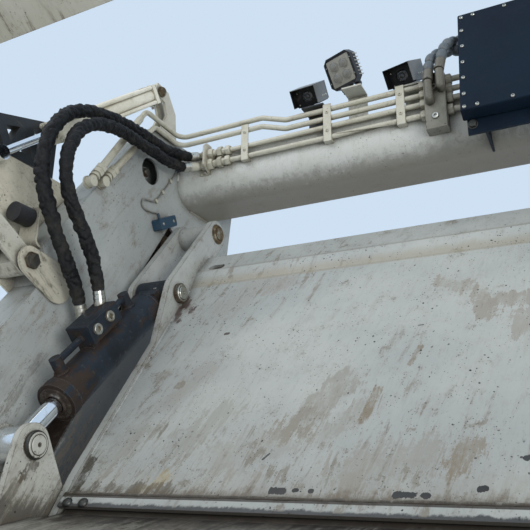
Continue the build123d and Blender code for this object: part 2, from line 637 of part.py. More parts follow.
save(yz_box(along(LOWER_ROLLER, BLADE_REST_ANGLE, blade_length), BLADE_REST_ANGLE, EDGE_LENGTH,
            EDGE_THICK / 2, -EAR_STACK_HIGH, EAR_STACK_HIGH), "blade_edge")
ear_root = along(LOWER_ROLLER, BLADE_REST_ANGLE, BLADE_EAR_ROOT)
ear_room = yz_box(along(LOWER_ROLLER, BLADE_REST_ANGLE, BLADE_WIDE_START), BLADE_REST_ANGLE,
                  blade_length, BLADE_THICK / 2, EAR_STACK_LOW - 1, EAR_STACK_HIGH + 1)
blade_ears = []
for ear_x in (EAR_STACK_LOW, EAR_STACK_HIGH - BLADE_EAR_THICK):
    ear = yz_hull([(BLADE_PIN, BLADE_EAR_R), (LOWER_ROLLER, HINGE_TUBE_R), (ear_root, BLADE_THICK / 2 - 1)],
                  ear_x, ear_x + BLADE_EAR_THICK)
    ear -= x_rod(BLADE_PIN, PIN_R, ear_x - 1, ear_x + BLADE_EAR_THICK + 1)
    ear -= x_rod(LOWER_ROLLER, HINGE_PIN_R + PIN_GAP, ear_x - 1, ear_x + BLADE_EAR_THICK + 1)
    blade_ears.append(ear - ear_room)
save_both(blade_ears[0] + blade_ears[1], "blade_ears")
blade_pin = x_rod(BLADE_PIN, PIN_R, EAR_STACK_LOW, EAR_STACK_LOW + BLADE_EAR_THICK)
blade_pin += x_rod(BLADE_PIN, PIN_HEAD_R, EAR_STACK_LOW - PIN_HEAD, EAR_STACK_LOW)
blade_pin_outer = x_rod(BLADE_PIN, PIN_R, EAR_STACK_HIGH - BLADE_EAR_THICK, EAR_STACK_HIGH)
save_both(blade_pin + blade_pin_outer, "blade_pins")

# Blade cylinders: barrel with gland, rod with eye
CYLINDER_ANGLE = heading(BARREL_PIN, BLADE_PIN)
PIN_TO_PIN = math.dist(BARREL_PIN, BLADE_PIN)


def by_barrel(reach, out):
    """A (y, z) place beside the cylinder: a distance from its base pin, and out towards the rear."""
    return along(along(BARREL_PIN, CYLINDER_ANGLE, reach), CYLINDER_ANGLE - 90.0, out)


barrel = side_rod(by_barrel(BARREL_START + CAP_TAPER, 0.0), CYLINDER_ANGLE,
                  BARREL_END - BARREL_START - CAP_TAPER, BARREL_R, CYLINDER_X)
cap_frame = Plane(origin=(CYLINDER_X, *by_barrel(BARREL_START, 0.0)), x_dir=(1, 0, 0),
                  z_dir=(0, *along((0, 0), CYLINDER_ANGLE, 1)))
barrel += cap_frame * Pos(0, 0, CAP_TAPER / 2) * Cone(CAP_TAPER_R, BARREL_R, CAP_TAPER)
barrel += x_rod(BARREL_PIN, BARREL_EYE_R, ear_end + 5.0, EAR_OUTER_X - 5.0)
barrel += yz_box(BARREL_PIN, CYLINDER_ANGLE, BARREL_START + 4.0, BARREL_EYE_R - 10.0, ear_end + 25.0,
                 EAR_OUTER_X - 25.0)
barrel += side_rod(by_barrel(BARREL_END, 0.0), CYLINDER_ANGLE, GLAND_LENGTH, GLAND_R, CYLINDER_X)

# Valve block on the barrel, its pads, the ports and their pipes, and the ends of the two hoses
block = yz_box(by_barrel(BLOCK_START, BLOCK_BASE + BLOCK_RISE / 2), CYLINDER_ANGLE, BLOCK_LENGTH,
               BLOCK_RISE / 2,
               CYLINDER_X - BLOCK_WIDTH / 2, CYLINDER_X + BLOCK_WIDTH / 2)
barrel += fillet(block.edges(), BLOCK_CORNER_R)
for pad_start in (BLOCK_START + BLOCK_CORNER_R, BLOCK_START + BLOCK_LENGTH - PAD_LENGTH - BLOCK_CORNER_R):
    barrel += yz_box(by_barrel(pad_start, BARREL_R - 5.0), CYLINDER_ANGLE, PAD_LENGTH,
                     BLOCK_BASE - BARREL_R + 8.0,
                     CYLINDER_X - PAD_LENGTH, CYLINDER_X + PAD_LENGTH)
for port in (PORT_HIGH, PORT_LOW):
    barrel += straight((CYLINDER_X, *by_barrel(port, 0.0)), (CYLINDER_X, *by_barrel(port, PORT_RISE)),
                       PORT_R)
    barrel += straight((CYLINDER_X, *by_barrel(port, PIPE_RISE)),
                       (CYLINDER_X, *by_barrel(BLOCK_START + BLOCK_LENGTH / 2, PIPE_RISE)), PIPE_R)


def hose_end(route, length, radius):
    """The crimped sleeve that a hose ends in: start and end places, in line with the last run or as given."""
    last_run = (Vector(*route[-1]) - Vector(*route[-2])).normalized()
    end = Vector(*route[-1]) + last_run * length
    return straight(route[-1], (end.X, end.Y, end.Z), radius), end


outer_sleeve, outer_end = hose_end(OUTER_ROUTE, FERRULE_LENGTH, FERRULE_R)
inner_sleeve, inner_end = hose_end(INNER_ROUTE, FERRULE_LENGTH, FERRULE_R)
outer_port = (CYLINDER_X, *by_barrel(BLOCK_START + BLOCK_LENGTH * 0.55, BLOCK_BASE + BLOCK_RISE * 0.25))
outer_corner = (outer_end.X, outer_port[1], outer_port[2])
barrel += outer_sleeve + straight((outer_end.X, outer_end.Y, outer_end.Z), outer_corner, FERRULE_R - 5.0)
barrel += straight(outer_corner, outer_port, FERRULE_R - 5.0) + Pos(*outer_corner) * Sphere(FERRULE_R - 2.0)
inner_port = (inner_end.X, *by_barrel(BLOCK_START + FERRULE_R, BLOCK_BASE + BLOCK_RISE / 2))
barrel += inner_sleeve + straight((inner_end.X, inner_end.Y, inner_end.Z), inner_port, FERRULE_R - 4.0)
bore_start = by_barrel(BARREL_START + 30.0, 0.0)
barrel -= side_rod(bore_start, CYLINDER_ANGLE, BARREL_END - BARREL_START - 50.0, BORE_R, CYLINDER_X)
barrel -= side_rod(bore_start, CYLINDER_ANGLE, BARREL_END, ROD_R + PIN_GAP, CYLINDER_X)
barrel -= x_rod(BARREL_PIN, PIN_R + PIN_GAP, ear_end, EAR_OUTER_X)
save_pair(barrel, "blade_cylinder_barrel")
outer_hose = hose(OUTER_ROUTE, HOSE_R)
inner_hose = hose(INNER_ROUTE, HOSE_R)
save_pair(outer_hose, "outer_hose")
save_pair(inner_hose, "inner_hose")
rod_start = along(BARREL_PIN, CYLINDER_ANGLE, BARREL_START + 36.0)
rod = side_rod(rod_start, CYLINDER_ANGLE, PIN_TO_PIN - BARREL_START - 36.0 - ROD_EYE_R + 10.0, ROD_R,
               CYLINDER_X)
rod += side_rod(rod_start, CYLINDER_ANGLE, PISTON_LENGTH, BORE_R - 1.0, CYLINDER_X)
rod += x_rod(BLADE_PIN, ROD_EYE_R, CYLINDER_X - ROD_EYE_WIDTH / 2, CYLINDER_X + ROD_EYE_WIDTH / 2)
save_pair(rod, "blade_cylinder_rod")

# Rear cover: a cheek and arm a side outside the walls, channels, a cross tube, a sheet and trusses
cover_tip = along(COVER_PIVOT, COVER_ANGLE, COVER_LENGTH)
arm_high = COVER_ARM_X + COVER_ARM_THICK
arm = yz_hull([(COVER_PIVOT, COVER_ARM_R), (COVER_ROD_PIN, COVER_EYE_R), (CHEEK_CORNER, CHEEK_CORNER_R)],
              COVER_ARM_X, arm_high)
arm += yz_hull([(COVER_PIVOT, COVER_ARM_R), (cover_tip, COVER_TIP_R)], COVER_ARM_X, arm_high)
arm -= x_rod(COVER_PIVOT, COVER_PIN_R + PIN_GAP, COVER_ARM_X - 1, arm_high + 1)
arm -= x_rod(COVER_ROD_PIN, AIR_PIN_R, COVER_ARM_X - 1, arm_high + 1)
save_both(arm, "cover_arms")
cover_frame = x_rod(cover_tip, COVER_TUBE_R, -COVER_ARM_X, COVER_ARM_X)
channel = yz_hull([(COVER_PIVOT, CHANNEL_HALF), (cover_tip, CHANNEL_HALF)], CHANNEL_LOW, CHANNEL_HIGH)
hollow_start = along(along(COVER_PIVOT, COVER_ANGLE, CHANNEL_HALF), COVER_ANGLE + 90.0, CHANNEL_WALL + 1)
channel -= yz_box(hollow_start, COVER_ANGLE, COVER_LENGTH - 2 * CHANNEL_HALF, CHANNEL_HALF,
                  CHANNEL_LOW + CHANNEL_WALL, CHANNEL_HIGH - CHANNEL_WALL)
channel -= x_rod(COVER_PIVOT, COVER_PIN_R + PIN_GAP, CHANNEL_LOW - 1, CHANNEL_HIGH + 1)
save(cover_frame + channel + mirrored(channel), "cover_tube")
sheet_low = along(along(COVER_PIVOT, COVER_ANGLE, SHEET_START), COVER_ANGLE - 90.0, CHANNEL_HALF)
sheet_high = along(along(COVER_PIVOT, COVER_ANGLE, COVER_LENGTH), COVER_ANGLE - 90.0, CHANNEL_HALF)
sheet_tip = along(sheet_high, COVER_ANGLE, CHANNEL_HALF + 12.0)
sheet_end = along(sheet_tip, COVER_ANGLE + 90.0, SHEET_LIP)
rise = COVER_ANGLE - 90.0
sheet_face = [sheet_low, sheet_tip, sheet_end, along(sheet_end, COVER_ANGLE, SHEET_THICK),
              along(along(sheet_tip, COVER_ANGLE, SHEET_THICK), rise, SHEET_THICK),
              along(sheet_low, rise, SHEET_THICK)]
save(yz_prism(sheet_face, -CHANNEL_HIGH, CHANNEL_HIGH), "cover_sheet")

# Trusses outside the cheeks: two chords that meet at the tail, a post and zigzag bars
bars = [(TRUSS_FRONT, TRUSS_TAIL), (TRUSS_FRONT_LOW, TRUSS_TAIL),
        (TRUSS_FRONT, shifted(TRUSS_FRONT_LOW, (0.0, -90.0)))]
for panel in range(TRUSS_PANELS):
    high_share, low_share = panel / TRUSS_PANELS * 0.8, (panel + 0.5) / TRUSS_PANELS * 0.8
    next_share = (panel + 1) / TRUSS_PANELS * 0.8
    high, next_high = (along(TRUSS_FRONT, heading(TRUSS_FRONT, TRUSS_TAIL),
                             share * math.dist(TRUSS_FRONT, TRUSS_TAIL))
                       for share in (high_share, next_share))
    low = along(TRUSS_FRONT_LOW, heading(TRUSS_FRONT_LOW, TRUSS_TAIL),
                low_share * math.dist(TRUSS_FRONT_LOW, TRUSS_TAIL))
    bars += [(high, low), (low, next_high)]
truss = yz_box(*[bars[0][0], heading(*bars[0]), math.dist(*bars[0])], TRUSS_BAR / 2, arm_high,
               arm_high + TRUSS_DEPTH)
for bar in bars[1:]:
    truss += yz_box(bar[0], heading(*bar), math.dist(*bar), TRUSS_BAR / 2, arm_high, arm_high + TRUSS_DEPTH)
save_both(truss, "cover_trusses")

# Brackets of the cover's pivots, each with the rolled plate that carries the rubber stop
brackets = []
for bracket_x in (INNER_HALF - COVER_BRACKET_THICK, OUTER_HALF):
    bracket = yz_hull([(COVER_PIVOT, COVER_BRACKET_R), (COVER_BRACKET_ROOT, COVER_BRACKET_ROOT_R)],
                      bracket_x, bracket_x + COVER_BRACKET_THICK)
    brackets.append(bracket - x_rod(COVER_PIVOT, COVER_PIN_R, bracket_x - 1,
                                    bracket_x + COVER_BRACKET_THICK + 1))
stop_foot = (EAR_EDGE, EAR_TOP[1] - 9.0)
stop_knee = (EAR_EDGE - STOP_BULGE, EAR_TOP[1] + STOP_BULGE)
stop_middle = (EAR_EDGE - 0.8 * STOP_BULGE, EAR_TOP[1] - 2.0)
stop_top = (EAR_EDGE - STOP_BULGE, STOP_Z + STOP_R)
stop_line = Curve() + [ThreePointArc(stop_foot, stop_middle, stop_knee), Line(stop_knee, stop_top)]
stop_plate = extrude(Plane.YZ.offset(STOP_LOW) * trace(stop_line, line_width=STOP_PLATE_THICK),
                     amount=STOP_HIGH - STOP_LOW, dir=(1, 0, 0))
wall_block = yz_prism([EAR_TOP, EAR_BOTTOM, shifted(EAR_BOTTOM, (60.0, 0.0)), shifted(EAR_TOP, (60.0, 0.0))],
                      INNER_HALF, OUTER_HALF)
save_both(brackets[0] + brackets[1] + (stop_plate - wall_block), "cover_brackets")
stop_x = (STOP_LOW + STOP_HIGH) / 2
stop_seat = EAR_EDGE - STOP_BULGE - STOP_PLATE_THICK / 2
rubber = straight((stop_x, stop_seat - 0.3, STOP_Z), (stop_x, stop_seat - STOP_LENGTH, STOP_Z), STOP_R)
save_both(rubber, "rubber_stops")
pivot_low = INNER_HALF - COVER_BRACKET_THICK
pivot_bolt = x_rod(COVER_PIVOT, COVER_PIN_R, pivot_low, arm_high + PIN_HEAD)
pivot_head = Plane.YZ.offset(pivot_low - PIN_HEAD) * Pos(*COVER_PIVOT) * RegularPolygon(COVER_PIN_R * 1.6, 6)
save_both(pivot_bolt + extrude(pivot_head, amount=PIN_HEAD, dir=(1, 0, 0)), "cover_pivots")
save_both(x_rod(COVER_ROD_PIN, AIR_PIN_R, AIR_X + 30.0, arm_high), "cover_rod_pins")

# Air cylinders that lift the cover
AIR_ANGLE = heading(AIR_BASE_PIN, COVER_ROD_PIN)
AIR_PIN_TO_PIN = math.dist(AIR_BASE_PIN, COVER_ROD_PIN)
air_frame = Plane(origin=(AIR_X, *along(AIR_BASE_PIN, AIR_ANGLE, AIR_START)), x_dir=(1, 0, 0),
                  z_dir=(0, *along((0, 0), AIR_ANGLE, 1)))
air_barrel = extrude(air_frame * Rectangle(2 * AIR_HALF, 2 * AIR_HALF), amount=AIR_CAP)
air_barrel += extrude(air_frame * Pos(0, 0, AIR_LENGTH - AIR_CAP) * Rectangle(2 * AIR_HALF, 2 * AIR_HALF),
                      amount=AIR_CAP)
air_barrel += extrude(air_frame * Circle(AIR_TUBE_R), amount=AIR_LENGTH)
for tie_rod in GridLocations(2 * TIE_ROD_PLACE, 2 * TIE_ROD_PLACE, 2, 2):
    air_barrel += extrude(air_frame * tie_rod * Circle(TIE_ROD_R), amount=AIR_LENGTH)
air_barrel -= extrude(air_frame * Circle(AIR_ROD_R + PIN_GAP), amount=AIR_LENGTH + 1)
air_barrel += yz_hull([(AIR_BASE_PIN, 22.0), (along(AIR_BASE_PIN, AIR_ANGLE, AIR_START - 15.0), 22.0)],
                      AIR_X - 14.0, AIR_X + 14.0)
air_barrel -= x_rod(AIR_BASE_PIN, AIR_PIN_R + PIN_GAP, AIR_X - 15.0, AIR_X + 15.0)
save_pair(air_barrel, "air_cylinder_barrel")
air_rod = side_rod(along(AIR_BASE_PIN, AIR_ANGLE, AIR_START + 60.0), AIR_ANGLE,
                   AIR_PIN_TO_PIN - AIR_START - 60.0 - 15.0, AIR_ROD_R, AIR_X)
air_rod += x_rod(COVER_ROD_PIN, 22.0, AIR_X - 16.0, AIR_X + 16.0)
save_pair(air_rod, "air_cylinder_rod")

# Gooseneck brackets on the walls for the air cylinders' base pins


def wall_top(y):
    """The height of the side wall's top edge."""
    return REAR_TOP[1] + (y - REAR_TOP[0]) * (FRONT_TOP[1] - REAR_TOP[1]) / (FRONT_TOP[0] - REAR_TOP[0])


neck_outline = [(NECK_REAR, wall_top(NECK_REAR)), (NECK_FRONT, wall_top(NECK_FRONT)), (-440.0, 60.0),
                (-500.0, 134.0),
                (-575.0, 140.0), (-590.0, 90.0), (-520.0, 78.0), (-500.0, 30.0)]
neck = yz_prism(neck_outline, AIR_X + NECK_HALF_GAP, AIR_X + NECK_HALF_GAP + NECK_THICK)
neck += yz_prism(neck_outline, AIR_X - NECK_HALF_GAP - NECK_THICK, AIR_X - NECK_HALF_GAP)
neck -= x_rod(AIR_BASE_PIN, AIR_PIN_R, AIR_X - 30.0, AIR_X + 30.0)
save_both(neck, "gooseneck_brackets")
save_both(x_rod(AIR_BASE_PIN, AIR_PIN_R, AIR_X - 34.0, AIR_X + 34.0), "air_base_pins")

# Steel tubes along the beam, from the manifold to the bulkheads, and on up to the walls' tops
clamp_low = min(TUBE_HEIGHTS) - TUBE_R - 10.0
clamp_high = max(TUBE_HEIGHTS) + TUBE_R + 6.0
for side in (1, -1):
    tubes = []
    start_x = MANIFOLD_HIGH_X if side > 0 else -MANIFOLD_LOW_X
    for height in TUBE_HEIGHTS[:2]:
        tubes.append(straight((start_x, TUBE_Y, height), (UNION_FROM, TUBE_Y, height), TUBE_R))
    for height, (corner, end) in zip(TUBE_HEIGHTS[2:], WALL_TUBE_CORNERS):
        raised = height + HIGH_TUBE_RISE
        route = [(start_x, TUBE_Y, height), (JOGGLE_START, TUBE_Y, height), (JOGGLE_END, TUBE_Y, raised),
                 (WALL_TUBE_X, TUBE_Y, raised), (WALL_TUBE_X, *corner), (WALL_TUBE_X, *end)]
        line = FilletPolyline(*route, radius=4 * TUBE_R)
        tubes.append(sweep(Plane(origin=route[0], z_dir=(1, 0, 0)) * Circle(TUBE_R), path=line))
        down = heading(corner, end)
        thick_from = along(corner, down, WALL_TUBE_FROM)
        elbow = along(end, down, ELBOW_REACH)
        tubes.append(straight((WALL_TUBE_X, *thick_from), (WALL_TUBE_X, *elbow), WALL_TUBE_R))
        tubes.append(straight((WALL_TUBE_X, *along(end, down, ELBOW_REACH - ELBOW_NUT)), (WALL_TUBE_X, *end),
                              ELBOW_R))
        tubes.append(x_rod(elbow, ELBOW_R, WALL_TUBE_X - WALL_TUBE_R - 3.0, INNER_HALF))
        tubes.append(x_rod(elbow, ELBOW_FLANGE_R, INNER_HALF - ELBOW_FLANGE, INNER_HALF))
    for place in CLAMP_PLACES:
        tubes.append(Pos(place, TUBE_Y - TUBE_R - CLAMP_THICK / 2 + 1.0, (clamp_low + clamp_high) / 2) * Box(
            CLAMP_WIDTH, CLAMP_THICK, clamp_high - clamp_low))
        tubes.append(Pos(place, (TUBE_Y - TUBE_R + BEAM_REAR) / 2, clamp_low + TUBE_R) * Box(
            CLAMP_WIDTH, BEAM_REAR - TUBE_Y + TUBE_R, 2 * TUBE_R))
    joined = tubes[0]
    for tube in tubes[1:]:
        joined += tube
    joined -= yz_box(BARREL_PIN, GUIDE_SLOPE, CARRIAGE_STROKE, CARRIAGE_STROKE, INNER_HALF, OUTER_HALF)
    all_tubes = joined if side > 0 else all_tubes + mirrored(joined)
save(all_tubes, "hydraulic_tubes")

# Bulkhead plates with the unions, elbows and sleeves where the hoses start
exit_run = Vector(*EXIT_DIRECTION).normalized()
bulkhead = yz_prism([(BEAM_REAR, BULKHEAD_LOW), (BULKHEAD_REAR, BULKHEAD_LOW + BULKHEAD_TAPER),
                     (BULKHEAD_REAR, BULKHEAD_HIGH - BULKHEAD_CORNER),
                     (BULKHEAD_REAR + BULKHEAD_CORNER, BULKHEAD_HIGH),
                     (BEAM_REAR, BULKHEAD_HIGH)], BULKHEAD_X, BULKHEAD_X + BULKHEAD_THICK)
bulkhead += Pos(BULKHEAD_X + BULKHEAD_FOOT / 2, BEAM_REAR - BULKHEAD_FOOT_THICK / 2,
                (BULKHEAD_LOW + BULKHEAD_FOOT_TOP) / 2) * Box(
    BULKHEAD_FOOT, BULKHEAD_FOOT_THICK, BULKHEAD_FOOT_TOP - BULKHEAD_LOW)
union_end = BULKHEAD_X + BULKHEAD_THICK + UNION_LENGTH
for height, reach in zip(TUBE_HEIGHTS[:2], (LOWER_FERRULE, UPPER_FERRULE)):
    bulkhead += straight((UNION_FROM, TUBE_Y, height), (union_end, TUBE_Y, height), UNION_R)
    corner = Vector(union_end, TUBE_Y, height)
    bulkhead += Pos(*corner) * Sphere(UNION_R)
    bend_end = corner + exit_run * UNION_ELBOW
    sleeve_end = corner + exit_run * reach
    bulkhead += straight(tuple(corner), tuple(bend_end), UNION_R)
    bulkhead += straight(tuple(bend_end), tuple(sleeve_end), FERRULE_R)
save_both(bulkhead - cross_beam - outer_hose - inner_hose, "bulkhead_brackets")

# Manifold block between the tubes, with the fittings of the two hoses that lead to the couplings
manifold = Pos((MANIFOLD_LOW_X + MANIFOLD_HIGH_X) / 2, (MANIFOLD_REAR + BEAM_REAR) / 2,
               (MANIFOLD_BOTTOM + MANIFOLD_TOP) / 2) * Box(
    MANIFOLD_HIGH_X - MANIFOLD_LOW_X, BEAM_REAR - MANIFOLD_REAR, MANIFOLD_TOP - MANIFOLD_BOTTOM)
manifold = fillet(manifold.edges().filter_by(Axis.Z), 4.0)
for start, after, drop in ((SUPPLY_START_LOW, FIRST_SUPPLY_ROUTE[1], 104.0),
                           (SUPPLY_START_HIGH, SECOND_SUPPLY_ROUTE[1], 98.0)):
    run = (Vector(*after) - Vector(*start)).normalized()
    sleeve_start = Vector(*start) - run * 42.0
    nut_end = Vector(sleeve_start.X, sleeve_start.Y, start[2] - drop)
    manifold += straight(tuple(sleeve_start), start, SUPPLY_R + 3.0)
    manifold += straight(tuple(nut_end), tuple(sleeve_start), SUPPLY_R) + Pos(*nut_end) * Sphere(SUPPLY_R)
    manifold += straight(tuple(nut_end), (nut_end.X, MANIFOLD_REAR + 8.0, nut_end.Z), SUPPLY_R)
first_supply = hose(FIRST_SUPPLY_ROUTE, SUPPLY_R)
second_supply = hose(SECOND_SUPPLY_ROUTE, SUPPLY_R)
save(manifold - cross_beam - first_supply - second_supply, "manifold_block")
save(first_supply, "first_supply_hose")
save(second_supply, "second_supply_hose")

# Control box, tilted back on its flange, with gussets to the beam's nose
box_top = along(BOX_BOTTOM, BOX_TILT, BOX_HEIGHT)
control_box = yz_prism([BOX_BOTTOM, box_top, along(box_top, BOX_TILT - 90.0, BOX_DEPTH),
                        along(BOX_BOTTOM, BOX_TILT - 90.0, BOX_DEPTH)], BOX_LEFT, BOX_RIGHT)
control_box = fillet(control_box.edges(), BOX_CORNER_R)
flange_span = BOX_RIGHT - 2 * (FLANGE_LEFT - BOX_LEFT) - BOX_LEFT
control_box += Pos(FLANGE_LEFT + flange_span / 2, FLANGE_REAR + FLANGE_THICK / 2,
                   (FLANGE_BOTTOM + FLANGE_TOP) / 2) * Box(
    flange_span, FLANGE_THICK, FLANGE_TOP - FLANGE_BOTTOM)
nose_depth = BEAM_REAR + BEAM_NOSE_R
for share in (0.12, 0.5, 0.88):
    gusset_x = FLANGE_LEFT + flange_span * share
    gusset = yz_prism([(FLANGE_REAR, FLANGE_BOTTOM + 12.0), (FLANGE_REAR, FLANGE_TOP),
                       (nose_depth, FLANGE_TOP),
                       (nose_depth, BEAM_BOTTOM)], gusset_x, gusset_x + GUSSET_THICK)
    control_box += gusset - cross_beam
save(control_box, "control_box")

# Work lamp: a housing with cut corners, fins behind and a sunk lens plate
lamp_frame = turned_frame(LAMP_PLACE, LAMP_TURN)
lamp_outline = chamfer(Rectangle(LAMP_SIZE, LAMP_SIZE).vertices(), LAMP_CHAMFER)
lamp = extrude(Plane.XZ * lamp_outline, amount=LAMP_DEPTH)
lamp -= extrude(Plane.XZ.offset(LAMP_DEPTH - LENS_RECESS) * chamfer(
    Rectangle(LAMP_SIZE - 10.0, LAMP_SIZE - 10.0).vertices(), LAMP_CHAMFER - 3.0), amount=LENS_RECESS + 1)
for fin in range(-3, 4):
    lamp += Pos(fin * 14.0, LAMP_FIN_RISE / 2 - 0.5, 0) * Box(LAMP_FIN, LAMP_FIN_RISE + 1.0,
                                                              LAMP_SIZE - 2 * LAMP_CHAMFER)
lamp = lamp_frame * lamp
lamp += straight((STANDS[1][0] + 30.0, LAMP_PLACE[1] + 10.0, STANDS[1][2]),
                 (STANDS[1][0] + 30.0, LAMP_PLACE[1] + 10.0, LAMP_PLACE[2]),
                 POST_R)
save(lamp, "work_lamp")

# Cameras, each in a sheet hood that stands out over its face
cameras = []
for place, turn, stand in zip(CAMERA_PLACES, CAMERA_TURNS, (STANDS[0], STANDS[2])):
    body = Box(CAMERA_WIDTH - 2 * HOOD_THICK, CAMERA_DEPTH, CAMERA_HEIGHT - HOOD_THICK)
    body = fillet(body.edges().filter_by(Axis.Y), 6.0)
    body -= Pos(0, -CAMERA_DEPTH / 2, 0) * Rot(90, 0, 0) * Cylinder(22.0, 8.0)
    hood_length = CAMERA_DEPTH + HOOD_REACH
    hood = Pos(0, -HOOD_REACH / 2, HOOD_THICK / 2) * Box(CAMERA_WIDTH, hood_length, CAMERA_HEIGHT)
    hood -= Pos(0, -HOOD_REACH / 2, -HOOD_THICK / 2) * Box(CAMERA_WIDTH - 2 * HOOD_THICK, hood_length + 2,
                                                           CAMERA_HEIGHT)
    hood -= Pos(0, -HOOD_REACH / 2, -CAMERA_HEIGHT / 2) * Box(CAMERA_WIDTH + 2, hood_length + 2, 12.0)
    camera = turned_frame(place, turn) * (body + hood)
    post_x = min(max(place[0], stand[0] + 20.0), stand[1] - 20.0)
    camera += straight((post_x, place[1] + 6.0, stand[2]), (post_x, place[1] + 6.0, place[2]), POST_R)
    cameras.append(camera)
save(cameras[0] + cameras[1], "cameras")

# Stands on the beam for lamp and cameras, and the plate with the couplings
stands = []
for low_x, high_x, shelf_z in STANDS:
    stand = yz_prism([(STAND_Y, BEAM_TOP), (STAND_Y, shelf_z - STAND_THICK),
                      (STAND_Y - SHELF_REACH, shelf_z - STAND_THICK),
                      (STAND_Y - SHELF_REACH, shelf_z), (STAND_Y + STAND_THICK, shelf_z),
                      (STAND_Y + STAND_THICK, BEAM_TOP + STAND_THICK),
                      (STAND_Y + STAND_FOOT, BEAM_TOP + STAND_THICK),
                      (STAND_Y + STAND_FOOT, BEAM_TOP)], low_x, high_x)
    stands.append(stand - cross_beam)
coupling_x = COUPLING_X + COUPLING_LENGTH
coupling_plate = yz_prism([(COUPLING_REAR, BEAM_TOP), (COUPLING_REAR, COUPLING_TOP),
                           (COUPLING_CREST, COUPLING_TOP),
                           (COUPLING_FRONT, BEAM_TOP)], coupling_x, coupling_x + COUPLING_THICK)
for route in (FIRST_SUPPLY_ROUTE, SECOND_SUPPLY_ROUTE):
    end_y, end_z = route[-1][1:]
    coupling_plate += straight((COUPLING_X, end_y, end_z), (coupling_x + 2 * COUPLING_THICK, end_y, end_z),
                               COUPLING_R)
coupling_plate -= first_supply + second_supply
save(stands[0] + stands[1] + stands[2] + coupling_plate, "equipment_brackets")

# Position sensor on the left wall, with its gland, lead and grommet
sensor_low = -INNER_HALF
sensor = yz_box(along(SENSOR_PLACE, SENSOR_ANGLE, -SENSOR_LENGTH / 2), SENSOR_ANGLE, SENSOR_LENGTH,
                SENSOR_HALF,
                sensor_low, sensor_low + SENSOR_WIDTH)
sensor = chamfer(sensor.edges().filter_by(Axis.X), 5.0)
lead_start = LEAD_ROUTE[0]
sensor += straight(lead_start, (LEAD_X, *along(lead_start[1:], SENSOR_ANGLE - 90.0, 40.0)), 2 * LEAD_R - 1.6)
lead_run = heading(LEAD_ROUTE[-2][1:], LEAD_ROUTE[-1][1:])
grommet = x_rod(along(LEAD_ROUTE[-1][1:], lead_run, GROMMET_R), GROMMET_R, sensor_low,
                sensor_low + 3 * LEAD_R)
sensor_lead = hose(LEAD_ROUTE, LEAD_R)
save(sensor + grommet - sensor_lead, "position_sensor")
save(sensor_lead, "sensor_cable")

# Tail lamps on the walls' rear edges: a housing with three round lenses
edge_angle = heading(EAR_BOTTOM, floor_path(FLOOR_R + WALL_BELOW_FLOOR)[0])
edge_drop = -math.sin(math.radians(edge_angle))
lamp_start = along(EAR_BOTTOM, edge_angle, (EAR_BOTTOM[1] - TAIL_LAMP_HIGH) / edge_drop)
lamp_length = (TAIL_LAMP_HIGH - TAIL_LAMP_LOW) / edge_drop
tail_lamp = yz_box(along(lamp_start, edge_angle - 90.0, TAIL_LAMP_DEPTH / 2), edge_angle, lamp_length,
                   TAIL_LAMP_DEPTH / 2,
                   INNER_HALF + TAIL_LAMP_INSET, OUTER_HALF - TAIL_LAMP_INSET)
for lens in (-1, 0, 1):
    lens_place = along(along(lamp_start, edge_angle, lamp_length / 2 + lens * TAIL_LENS_PITCH),
                       edge_angle - 90.0, TAIL_LAMP_DEPTH)
    lens_frame = Plane(origin=((INNER_HALF + OUTER_HALF) / 2, *lens_place), x_dir=(1, 0, 0),
                       z_dir=(0, *along((0, 0), edge_angle - 90.0, 1)))
    tail_lamp += extrude(lens_frame * Circle(TAIL_LENS_R), amount=TAIL_LENS_DEPTH)
save_both(tail_lamp, "tail_lamps")
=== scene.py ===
"""Rear loader tailgate: finishes, hoses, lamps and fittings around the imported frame.

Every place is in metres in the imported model's frame: X across the truck, +Y forward and +Z up. A place in
the side view is a (y, z) pair, and its angle is in degrees from +Y towards +Z.
"""
from __future__ import annotations

import json
import logging
import math
from dataclasses import dataclass, field
from enum import Enum
from typing import Any, Callable, Iterable, Mapping, Optional, Sequence, Union

import bmesh
import bpy
from mathutils import Matrix, Vector, noise

